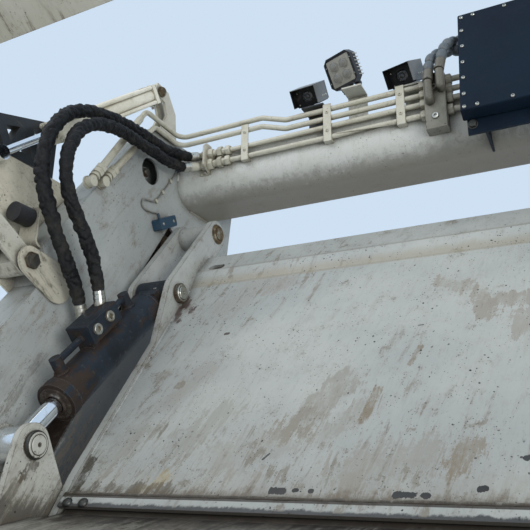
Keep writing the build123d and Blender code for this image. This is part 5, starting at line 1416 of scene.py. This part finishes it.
class Trim:
    """Small pieces on one part of the tailgate."""

    def __init__(self, finishes: Finishes) -> None:
        """Keep the finishes."""
        self.finishes = finishes


class SideTrim(Trim):
    """Small pieces that are made once for each side."""

    def __init__(self, finishes: Finishes, side: int, word: str) -> None:
        """Keep the finishes and the side."""
        super().__init__(finishes)
        self.side = side
        self.word = word


class Carriage(Trim):
    """Welds, bolts and pin ends of the sliding carriage and its plate."""

    def build(self) -> None:
        """Make its pieces."""
        plate, half = LAYOUT.on_plate, LAYOUT.plate_half
        out = aim(LAYOUT.plate_angle + 90.0)
        welds = Form()
        low, proud = 0.006, LAYOUT.strip_thick - 0.003
        welds.weld(plate(-half + 0.002, low, proud), plate(half - 0.002, low, proud), 0.005)
        for side in BOTH:
            foot, top = 0.09, LAYOUT.plate_length - 0.19
            welds.weld(plate(side * half, foot, 0.0), plate(side * half, top, 0.0), 0.004)
        welds.build("plate_welds", self.finishes.plate, "white_paint", "carriage")
        bolts = FittingSet("plate_dome_bolts", "carriage", "bare_steel")
        for x in (0.783, 0.831):
            bolts.pair(Head.DOME, 0.013, plate(x, -0.020, LAYOUT.strip_thick), out)
        bolts.build(self.finishes.bolts)
        ends = FittingSet("pin_keepers", "carriage", "bare_steel")
        inner = half - LAYOUT.pin_head
        ends.pair(Head.KEEPER, 0.029, (inner, *LAYOUT.barrel_pin), (-1.0, 0.0, 0.0))
        ends.pair(Head.NIPPLE, 0.0042, (inner - 0.003, *LAYOUT.barrel_pin), (-1.0, 0.0, 0.0))
        ends.build(self.finishes.zinc)
        caps = Form()
        for side in BOTH:
            frame = facing((side * (half + 0.0005), *LAYOUT.upper_roller), (-side, 0.0, 0.0))
            caps.turned(frame, AXLE_CAP, 1.0, 36)
            caps.round_weld(frame, 0.0345, 0.0036)
        caps.build("axle_caps", self.finishes.old_pins, "bare_steel", "carriage")


class Blade(Trim):
    """Pin ends and edge bolts of the blade."""

    def build(self) -> None:
        """Make its pieces."""
        keepers = FittingSet("blade_pin_keepers", "blade", "white_paint")
        low = LAYOUT.plate_half + LAYOUT.ear_thick + LAYOUT.ear_gap - LAYOUT.pin_head
        keepers.pair(Head.KEEPER, 0.030, (low, *LAYOUT.blade_pin), (-1.0, 0.0, 0.0))
        keepers.build(self.finishes.blade_ears)
        rings = Form()
        for side in BOTH:
            frame = facing((side * (low + 0.001), *LAYOUT.blade_pin), (-side, 0.0, 0.0))
            rings.turned(frame, PIN_RING, 1.0, 48)
        rings.build("blade_pin_rings", self.finishes.bolts, "bare_steel", "blade")
        nipples = FittingSet("blade_pin_nipples", "blade", "bare_steel")
        nipples.pair(Head.NIPPLE, 0.0042, (low - 0.003, *LAYOUT.blade_pin), (-1.0, 0.0, 0.0))
        under = LAYOUT.blade_angle + 90.0
        edge = along(along(LAYOUT.lower_roller, LAYOUT.blade_angle, 0.56), under, 0.020)
        for number in range(8):
            nipples.pair(Head.DOME, 0.013, (0.07 + 0.13 * number, *edge), aim(under))
        nipples.build(self.finishes.pins)
        welds = Form()
        for side in BOTH:
            frame = facing((side * (low + 0.012), *LAYOUT.blade_pin), (-side, 0.0, 0.0))
            welds.round_weld(frame, 0.0345, 0.003)
        welds.build("blade_pin_welds", self.finishes.blade_ears, "white_paint", "blade")


class BladeCylinder(SideTrim):
    """Plugs, crimped sleeves and rings on one blade cylinder."""

    def build(self) -> None:
        """Make its pieces."""
        side, body, x = self.side, f"{self.word}_blade_barrel", LAYOUT.cylinder_x
        inward, axis = (-side, 0.0, 0.0), aim(LAYOUT.cylinder_angle)
        rear = aim(LAYOUT.cylinder_angle - 90.0)
        plugs = FittingSet(f"{self.word}_block_plugs", body, "chrome_rod")
        for place in ((-1.054, -1.006), (-1.008, -0.959)):
            plugs.add(Head.PLUG, 0.0165, (side * (x - 0.041), *place), inward)
        top = LAYOUT.by_barrel(side * (x - 0.02), 0.020, 0.036)
        plugs.add(Head.HEX, 0.009, top, rear)
        plugs.build(self.finishes.zinc)
        crimps = Form()
        for hose in (OUTER_HOSE, INNER_HOSE):
            before, last = (Vector((side * place[0], *place[1:])) for place in hose.route[-2:])
            run = (last - before).normalized()
            crimps.turned(facing(tuple(last + run * 0.004), tuple(run)), BARREL_CRIMP, 1.0, 36)
        crimps.build(f"{self.word}_hose_crimps", self.finishes.zinc, "chrome_rod", body)
        rings = Form()
        frame = facing(LAYOUT.by_barrel(side * x, 0.570, 0.0), axis)
        rings.turned(frame, WIPER_RING, 1.0, 48)
        rings.build(f"{self.word}_wiper_ring", self.finishes.rollers, "bare_steel", body)
        holes = FittingSet(f"{self.word}_gland_holes", body, "black_rubber")
        for turn in (35.0, 125.0, 215.0, 305.0):
            spot = frame @ (Matrix.Rotation(math.radians(turn), 4, "Z") @ Vector((0.0525, 0.0, 0.0)))
            holes.add(Head.PLUG, 0.0038, tuple(spot), axis)
        holes.build(self.finishes.rubber)
        welds = Form()
        for reach in (0.085, 0.538):
            welds.round_weld(facing(LAYOUT.by_barrel(side * x, reach, 0.0), axis),
                             LAYOUT.barrel_radius - 0.0005, 0.0034)
        for reach in (0.160, 0.508):
            port = LAYOUT.by_barrel(side * x, reach, LAYOUT.barrel_radius)
            welds.round_weld(facing(port, rear), 0.018)
        welds.build(f"{self.word}_barrel_welds", self.finishes.primer, "primer_grey", body)


class AirCylinder(SideTrim):
    """Tie rod nuts, gland and air fitting of one cover cylinder."""

    def build(self) -> None:
        """Make its pieces."""
        base, x = LAYOUT.air_base, self.side * LAYOUT.air_x
        angle = heading(base, LAYOUT.air_rod_pin)
        body = f"{self.word}_air_barrel"
        nuts = FittingSet(f"{self.word}_tie_rod_nuts", body, "cream_paint")
        rod, gland = 0.029, 0.680
        for reach, way in ((0.040, angle + 180.0), (gland, angle)):
            for across in (-rod, rod):
                for off in (-rod, rod):
                    place = along(along(base, angle, reach), angle + 90.0, off)
                    nuts.add(Head.NUT, 0.0095, (x + across, *place), aim(way))
        nuts.build(self.finishes.cream)
        fittings = FittingSet(f"{self.word}_air_fittings", body, "bare_steel")
        port = along(along(base, angle, 0.052), angle + 90.0, 0.0375)
        fittings.add(Head.NIPPLE, 0.011, (x, *port), aim(angle + 90.0))
        fittings.add(Head.RING_NUT, 0.020, (x, *along(base, angle, gland)), aim(angle))
        fittings.build(self.finishes.zinc)
        ends = FittingSet(f"{self.word}_base_pin_ends", "tailgate", "bare_steel")
        for way in (1.0, -1.0):
            ends.add(Head.HEX, 0.017, (x + way * 0.034, *base), (way, 0.0, 0.0), 12.0)
        ends.build(self.finishes.old_pins)


class Lamps(Trim):
    """Lenses of the work lamp, cameras and tail lamps, with their screws."""

    def work_lamp(self) -> None:
        """Four round lenses in a silver plate, screws in the rim and the lamp's yoke."""
        frame = device_frame(LAYOUT.lamp_place, LAYOUT.lamp_turn)
        look = frame.to_3x3() @ Vector((0.0, -1.0, 0.0))
        plate = Form()
        plate.slab(frame @ Matrix.Translation((0.0, -0.0314, 0.0)), (0.100, 0.0008, 0.100), 0.0003)
        plate.build("lamp_reflector_plate", self.finishes.lens_plate, "silver_hood", "tailgate")
        centres = []
        lenses = Form()
        apart = 0.0215
        for x in (-apart, apart):
            for z in (-apart, apart):
                place = tuple(frame @ Vector((x, -0.0318, z)))
                centres.append(place)
                lenses.turned(facing(place, tuple(look)), Head.LENS.value, 0.0195, 48)
        glass = Lens("lamp_lens", shown(134, 134, 128), shown(96, 97, 94), tuple(centres), tuple(look),
                     0.0065)
        lenses.build("lamp_lenses", glass.build(), "silver_hood", "tailgate")
        fins = Form()
        for number in range(7):
            z = -0.039 + 0.013 * number
            for x in (-0.0605, 0.0605):
                fins.slab(frame @ Matrix.Translation((x, -0.004, z)), (0.005, 0.030, 0.003), 0.0006)
        fins.build("lamp_fins", self.finishes.fins, "silver_hood", "tailgate")
        screws = FittingSet("lamp_screws", "tailgate", "bare_steel")
        for x, z in ((-0.0545, 0.03), (0.0545, 0.03), (-0.0545, -0.03), (0.0545, -0.03)):
            screws.add(Head.SCREW, 0.0024, tuple(frame @ Vector((x, -0.034, z))), tuple(look))
        screws.build(self.finishes.zinc)
        yoke = Form()
        for side in (-1, 1):
            yoke.slab(frame @ Matrix.Translation((side * 0.030, 0.004, -0.066)), (0.008, 0.030, 0.032),
                      0.002)
            bolt = Matrix.Translation((side * 0.036, 0.004, -0.064))
            turn = Matrix.Rotation(side * math.pi / 2, 4, "Y")
            yoke.turned(frame @ bolt @ turn, Head.HEX.value, 0.008)
        yoke.slab(frame @ Matrix.Translation((0.0, 0.004, -0.078)), (0.068, 0.030, 0.006), 0.002)
        yoke.build("lamp_yoke", self.finishes.lamp, "black_rubber", "tailgate")

    def cameras(self) -> None:
        """Each camera's lens, ring of small lamps and screws."""
        centres, glass, screws = [], Form(), FittingSet("camera_screws", "tailgate", "bare_steel")
        for place, turn in zip(LAYOUT.camera_places, LAYOUT.camera_turns):
            frame = device_frame(place, turn)
            look = tuple(frame.to_3x3() @ Vector((0.0, -1.0, 0.0)))
            centre = tuple(frame @ Vector((0.0, -0.040, 0.0)))
            centres.append(centre)
            glass.turned(facing(centre, look), Head.EYE.value, 0.0205, 48)
            for number in range(8):
                angle = math.pi / 4 * number + 0.2
                spot = frame @ Vector((0.0163 * math.cos(angle), -0.0432, 0.0163 * math.sin(angle)))
                glass.turned(facing(tuple(spot), look), Head.DOME.value, 0.0021, 12)
            for x, z in ((-0.037, -0.024), (0.037, -0.024), (-0.037, 0.020), (0.037, 0.020)):
                screws.add(Head.SCREW, 0.0028, tuple(frame @ Vector((x, -0.044, z))), look)
            for side in (-1, 1):
                outward = tuple(frame.to_3x3() @ Vector((side, 0.0, 0.0)))
                for y in (-0.018, 0.0, 0.018):
                    screws.add(Head.SCREW, 0.004, tuple(frame @ Vector((side * 0.05, y, -0.012))), outward)
        lens = Lens("camera_lens", shown(20, 22, 26), shown(44, 50, 58), tuple(centres), pitch=0.009)
        glass.build("camera_lenses", lens.build(), "black_rubber", "tailgate")
        screws.build(self.finishes.zinc)

    def tail_lamps(self) -> None:
        """Stepped red, amber and clear lenses on the walls' rear edges."""
        axis = LAYOUT.tail_lamp_axis
        tints = ((shown(176, 30, 22), shown(112, 14, 12)), (shown(206, 112, 22), shown(150, 68, 10)),
                 (shown(196, 196, 190), shown(140, 140, 136)))
        proud = Matrix.Translation((0.0, 0.0, 0.005))
        for number, (place, (coat, deep)) in enumerate(zip(LAYOUT.tail_lamp_places, tints), 1):
            centres = tuple((side * LAYOUT.tail_lamp_x, *place) for side in BOTH)
            form = Form()
            for centre in centres:
                form.turned(facing(centre, axis) @ proud, Head.LENS.value, 0.0345, 60)
            lens = Lens(f"tail_lens_{number}", coat, deep, centres, axis, 0.004)
            form.build(f"tail_lens_{number}", lens.build(), "silver_hood", "tailgate")

    def build(self) -> None:
        """Make all lenses."""
        self.work_lamp()
        self.cameras()
        self.tail_lamps()


class TopGear(Trim):
    """Screws of the control box, nuts of the tubes and fittings, clips and welds on the tailgate's frame."""

    def control_box(self) -> None:
        """Screws round the box's cover and bolts in its flange."""
        screws = FittingSet("box_screws", "tailgate", "chrome_rod")
        outward = aim(LAYOUT.box_tilt + 90.0)
        low, high = 0.014, 0.461
        for columns, rows in (((0.076, 0.470), (low, 0.073, 0.149, 0.225, 0.307, 0.389, high)),
                              ((0.115, 0.218, 0.328, 0.431), (low, high))):
            for x in columns:
                for up in rows:
                    screws.add(Head.SCREW, 0.0068, LAYOUT.on_box(x, up), outward)
        screws.build(self.finishes.zinc)
        bolts = FittingSet("box_flange_bolts", "tailgate", "anthracite")
        for x in (0.090, 0.273, 0.456):
            bolts.add(Head.HEX, 0.0125, (x, -0.549, -0.344), (0.0, -1.0, 0.0), 10.0)
        bolts.build(self.finishes.bolts)

    def tube_nuts(self) -> None:
        """Union nuts at the manifold and the bulkheads, plugs in the manifold and clamp bolts."""
        nuts = FittingSet("union_nuts", "tailgate", "cream_paint")
        y, heights = LAYOUT.tube_y, LAYOUT.tube_heights
        for height in heights:
            nuts.add(Head.RING_NUT, 0.0175, (0.008, y, height), (1.0, 0.0, 0.0), 8.0)
            nuts.add(Head.RING_NUT, 0.0175, (-0.064, y, height), (-1.0, 0.0, 0.0), 20.0)
        for height in heights[:2]:
            for size, x, way, turn in ((0.0185, 0.846, -1.0, 14.0), (0.0205, 0.862, 1.0, 4.0),
                                       (0.0215, 0.925, -1.0, 24.0), (0.0200, 0.933, 1.0, 17.0)):
                nuts.pair(Head.RING_NUT, size, (x, y, height), (way, 0.0, 0.0), turn)
        for start, corner in (((-0.643, -0.113), (-0.883, -0.431)), ((-0.700, -0.076), (-0.943, -0.452))):
            angle = heading(start, corner)
            for back in (0.030, 0.052):
                place = along(corner, angle + 180.0, back)
                nuts.pair(Head.RING_NUT, 0.0185, (1.0665, *place), aim(angle), 12.0 + 300.0 * back)
        plugs = FittingSet("manifold_plugs", "tailgate", "chrome_rod")
        for z in (-0.145, -0.255):
            plugs.add(Head.PLUG, 0.011, (-0.030, -0.500, z), (0.0, -1.0, 0.0))
        for x in (0.150, 0.420, 0.760):
            for z in (-0.203, -0.128):
                nuts.pair(Head.SCREW, 0.0062, (x, -0.478, z), (0.0, -1.0, 0.0), 15.0)
        for z in (-0.252, -0.213):
            plugs.pair(Head.HEX, 0.007, (0.948, -0.456, z), (0.0, -1.0, 0.0), 22.0)
        plugs.build(self.finishes.zinc)
        nuts.build(self.finishes.cream)

    def hose_starts(self) -> None:
        """Crimped sleeves where the two hoses of each side leave their bulkhead."""
        crimps = Form()
        run = Vector(LAYOUT.bulkhead_run).normalized()
        for side in BOTH:
            way = Vector((side * run.x, run.y, run.z))
            for height, reach in zip(LAYOUT.tube_heights[:2], (0.080, 0.052)):
                corner = Vector((side * LAYOUT.bulkhead_x, LAYOUT.tube_y, height))
                frame = facing(tuple(corner + way * (reach - 0.034)), tuple(way))
                crimps.turned(frame, BULKHEAD_CRIMP, 1.0, 36)
        crimps.build("bulkhead_crimps", self.finishes.zinc, "chrome_rod", "tailgate")

    def walls(self) -> None:
        """The bolt in each wall's hole, the lead's clips, sensor screws, and the frame's welds."""
        bolts = FittingSet("wall_hole_bolts", "tailgate", "bare_steel")
        bolts.pair(Head.HEX, 0.015, (1.104, *LAYOUT.wall_hole), (-1.0, 0.0, 0.0), 9.0)
        bolts.build(self.finishes.pins)
        boss = Form()
        for side in BOTH:
            boss.turned(facing((side * 1.184, *LAYOUT.wall_hole), (-side, 0.0, 0.0)), HOLE_BOSS, 1.0, 36)
        boss.build("wall_hole_bosses", self.finishes.walls, "white_paint", "tailgate")
        clips = Form()
        slope = Matrix.Rotation(math.radians(57.0), 4, "X")
        for y, z in ((-0.590, -0.402), (-0.552, -0.350), (-0.505, -0.284)):
            frame = Matrix.Translation((LEAD_X - 0.0015, y, z)) @ slope
            clips.slab(frame, (0.0095, 0.012, 0.016), 0.0015)
        clips.build("lead_clips", self.finishes.cream, "cream_paint", "tailgate")
        screws = FittingSet("sensor_screws", "tailgate", "chrome_rod")
        for reach in (-0.036, 0.036):
            place = along(LAYOUT.sensor_place, LAYOUT.sensor_angle, reach)
            screws.add(Head.SCREW, 0.006, (-1.042, *place), (1.0, 0.0, 0.0))
        screws.build(self.finishes.zinc)
        welds = Form()
        for side in BOTH:
            x = side * LAYOUT.inner_half
            welds.weld((x, -0.452, -0.190), (x, -0.452, -0.262), 0.006)
            welds.weld((x, -0.356, -0.3555), (x, -0.212, -0.3555), 0.006)
            welds.weld((side * 0.929, -0.451, -0.200), (side * 0.929, -0.451, -0.142), 0.004)
            for neck_x in (LAYOUT.air_x + 0.028, LAYOUT.air_x - 0.028):
                welds.weld((side * neck_x, -0.555, -0.1085), (side * neck_x, -0.425, -0.0985), 0.004)
        welds.build("frame_welds", self.finishes.beam, "white_paint", "tailgate")

    def build(self) -> None:
        """Make its pieces."""
        self.control_box()
        self.tube_nuts()
        self.hose_starts()
        self.walls()


class Cover(Trim):
    """Bolts at the cover's pivots and channels."""

    def build(self) -> None:
        """Make its pieces."""
        angle = LAYOUT.cover_angle
        bolts = FittingSet("cover_bolts", "cover", "bare_steel")
        bolts.pair(Head.HEX, 0.016, (1.222, *LAYOUT.air_rod_pin), (1.0, 0.0, 0.0))
        for reach in (0.60, 0.70, 0.80):
            place = along(along(LAYOUT.cover_pivot, angle, reach), angle - 90.0, 0.043)
            bolts.pair(Head.DOME, 0.009, (1.137, *place), aim(angle - 90.0))
        bolts.build(self.finishes.pins)


@dataclass
class ViewPoint:
    """The camera: its place, its turn to the left, its tilt up and its roll, in metres and degrees."""

    place: Triple = (0.320, -2.440, -1.390)
    yaw: float = 26.7
    pitch: float = 17.9
    roll: float = 0.5
    lens: float = 44.15
    sensor: float = 36.0
    nearest: float = 0.05

    def build(self) -> bpy.types.Object:
        """Make the camera and set it as the scene's own."""
        yaw, pitch, roll = (math.radians(angle) for angle in (self.yaw, self.pitch, self.roll))
        ahead = Vector((-math.sin(yaw) * math.cos(pitch), math.cos(yaw) * math.cos(pitch), math.sin(pitch)))
        level = Vector((math.cos(yaw), math.sin(yaw), 0.0))
        upright = level.cross(ahead)
        right = math.cos(roll) * level + math.sin(roll) * upright
        up = math.cos(roll) * upright - math.sin(roll) * level
        data = bpy.data.cameras.new("view_point")
        data.lens = self.lens
        data.sensor_width = self.sensor
        data.clip_start = self.nearest
        camera = placed("view_point", data)
        turn = Matrix((right, up, -ahead)).transposed()
        camera.matrix_world = Matrix.Translation(self.place) @ turn.to_4x4()
        bpy.context.scene.camera = camera
        return camera


@dataclass
class SoftBox:
    """One square area lamp: its place, what it looks at, its size and power."""

    name: str
    place: Triple
    target: Triple
    size: float
    power: float
    tint: Triple = (1.0, 1.0, 1.0)

    def build(self) -> None:
        """Make the lamp."""
        data = bpy.data.lights.new(self.name, "AREA")
        data.size = self.size
        data.energy = self.power
        data.color = self.tint
        lamp = placed(self.name, data)
        look = Vector(self.target) - Vector(self.place)
        lamp.matrix_world = Matrix.Translation(self.place) @ look.to_track_quat("-Z",
                                                                                "Y").to_matrix().to_4x4()


@dataclass
class Studio:
    """The pale floor, the pale sky and the lamps."""

    floor_gap: float = 0.003
    floor_half: float = 9.0
    sky_colour: Triple = shown(206, 224, 242)
    light_colour: Triple = (0.97, 0.985, 1.0)
    light_strength: float = 0.52
    boxes: tuple[SoftBox, ...] = (
        SoftBox("key", (-2.6, -3.4, 3.0), (0.0, -0.8, -0.8), 3.4, 90.0, (1.0, 0.98, 0.95)),
        SoftBox("low", (3.6, -4.0, -1.1), (-1.0, -1.0, -1.0), 2.0, 150.0, (1.0, 0.99, 0.96)),
    )

    def floor(self, lowest: float) -> None:
        """A plain floor just below the part."""
        form = Form()
        half = self.floor_half
        corners = [form.mesh.verts.new((x, y, lowest - self.floor_gap))
                   for x, y in ((-half, -half), (half, -half), (half, half), (-half, half))]
        form.mesh.faces.new(corners)
        data = bpy.data.meshes.new("floor")
        form.mesh.to_mesh(data)
        form.mesh.free()
        made = placed("floor", data)
        graph = Graph("pale_floor")
        soft = graph.clouds(graph.place(), 0.8, 2.0)
        data.materials.append(graph.finish(graph.mix(soft, shown(222, 224, 226), shown(230, 231, 232)), 0.8))
        made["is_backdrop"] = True

    def sky(self) -> None:
        """A pale sky for the camera and reflections, and an even light for the rest."""
        world = bpy.data.worlds.new("sky")
        world.use_nodes = True
        bpy.context.scene.world = world
        tree = world.node_tree
        tree.nodes.clear()
        links = tree.links
        output, rays = tree.nodes.new("ShaderNodeOutputWorld"), tree.nodes.new("ShaderNodeLightPath")
        seen, light = tree.nodes.new("ShaderNodeBackground"), tree.nodes.new("ShaderNodeBackground")
        seen.inputs["Color"].default_value = (*self.sky_colour, 1.0)
        light.inputs["Color"].default_value = (*self.light_colour, 1.0)
        light.inputs["Strength"].default_value = self.light_strength
        either: Optional[bpy.types.NodeSocket] = None
        for ray in ("Is Camera Ray", "Is Glossy Ray", "Is Transmission Ray"):
            if either is None:
                either = rays.outputs[ray]
                continue
            most = tree.nodes.new("ShaderNodeMath")
            most.operation = "MAXIMUM"
            links.new(either, most.inputs[0])
            links.new(rays.outputs[ray], most.inputs[1])
            either = most.outputs[0]
        mix = tree.nodes.new("ShaderNodeMixShader")
        links.new(either, mix.inputs[0])
        links.new(light.outputs[0], mix.inputs[1])
        links.new(seen.outputs[0], mix.inputs[2])
        links.new(mix.outputs[0], output.inputs["Surface"])

    def build(self, lowest: float) -> None:
        """Make the studio round the part."""
        self.floor(lowest)
        self.sky()
        for box in self.boxes:
            box.build()
        bpy.context.scene.view_settings.view_transform = "Standard"


def box_of(bounds: Iterable[Iterable[float]]) -> list[list[float]]:
    """A box as plain lists of numbers."""
    return [[float(value) for value in corner] for corner in bounds]


def main() -> None:
    """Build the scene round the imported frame."""
    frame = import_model()
    cad_box = box_of(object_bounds())
    ViewPoint().build()
    finishes = Finishes()
    for side, word in SIDES:
        OUTER_HOSE.build(side, word, finishes.cloth)
        INNER_HOSE.build(side, word, finishes.cloth)
    FIRST_SUPPLY.build(finishes.cable)
    SECOND_SUPPLY.build(finishes.cable)
    SENSOR_LEAD.build(finishes.lead)
    Dresser(finishes, frame["nodes"]).dress()
    Carriage(finishes).build()
    Blade(finishes).build()
    for side, word in SIDES:
        BladeCylinder(finishes, side, word).build()
        AirCylinder(finishes, side, word).build()
    Cover(finishes).build()
    TopGear(finishes).build()
    Lamps(finishes).build()
    Studio().build(cad_box[0][2])
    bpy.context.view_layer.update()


if __name__ == "__main__":
    logging.basicConfig(level=logging.INFO)
    main()
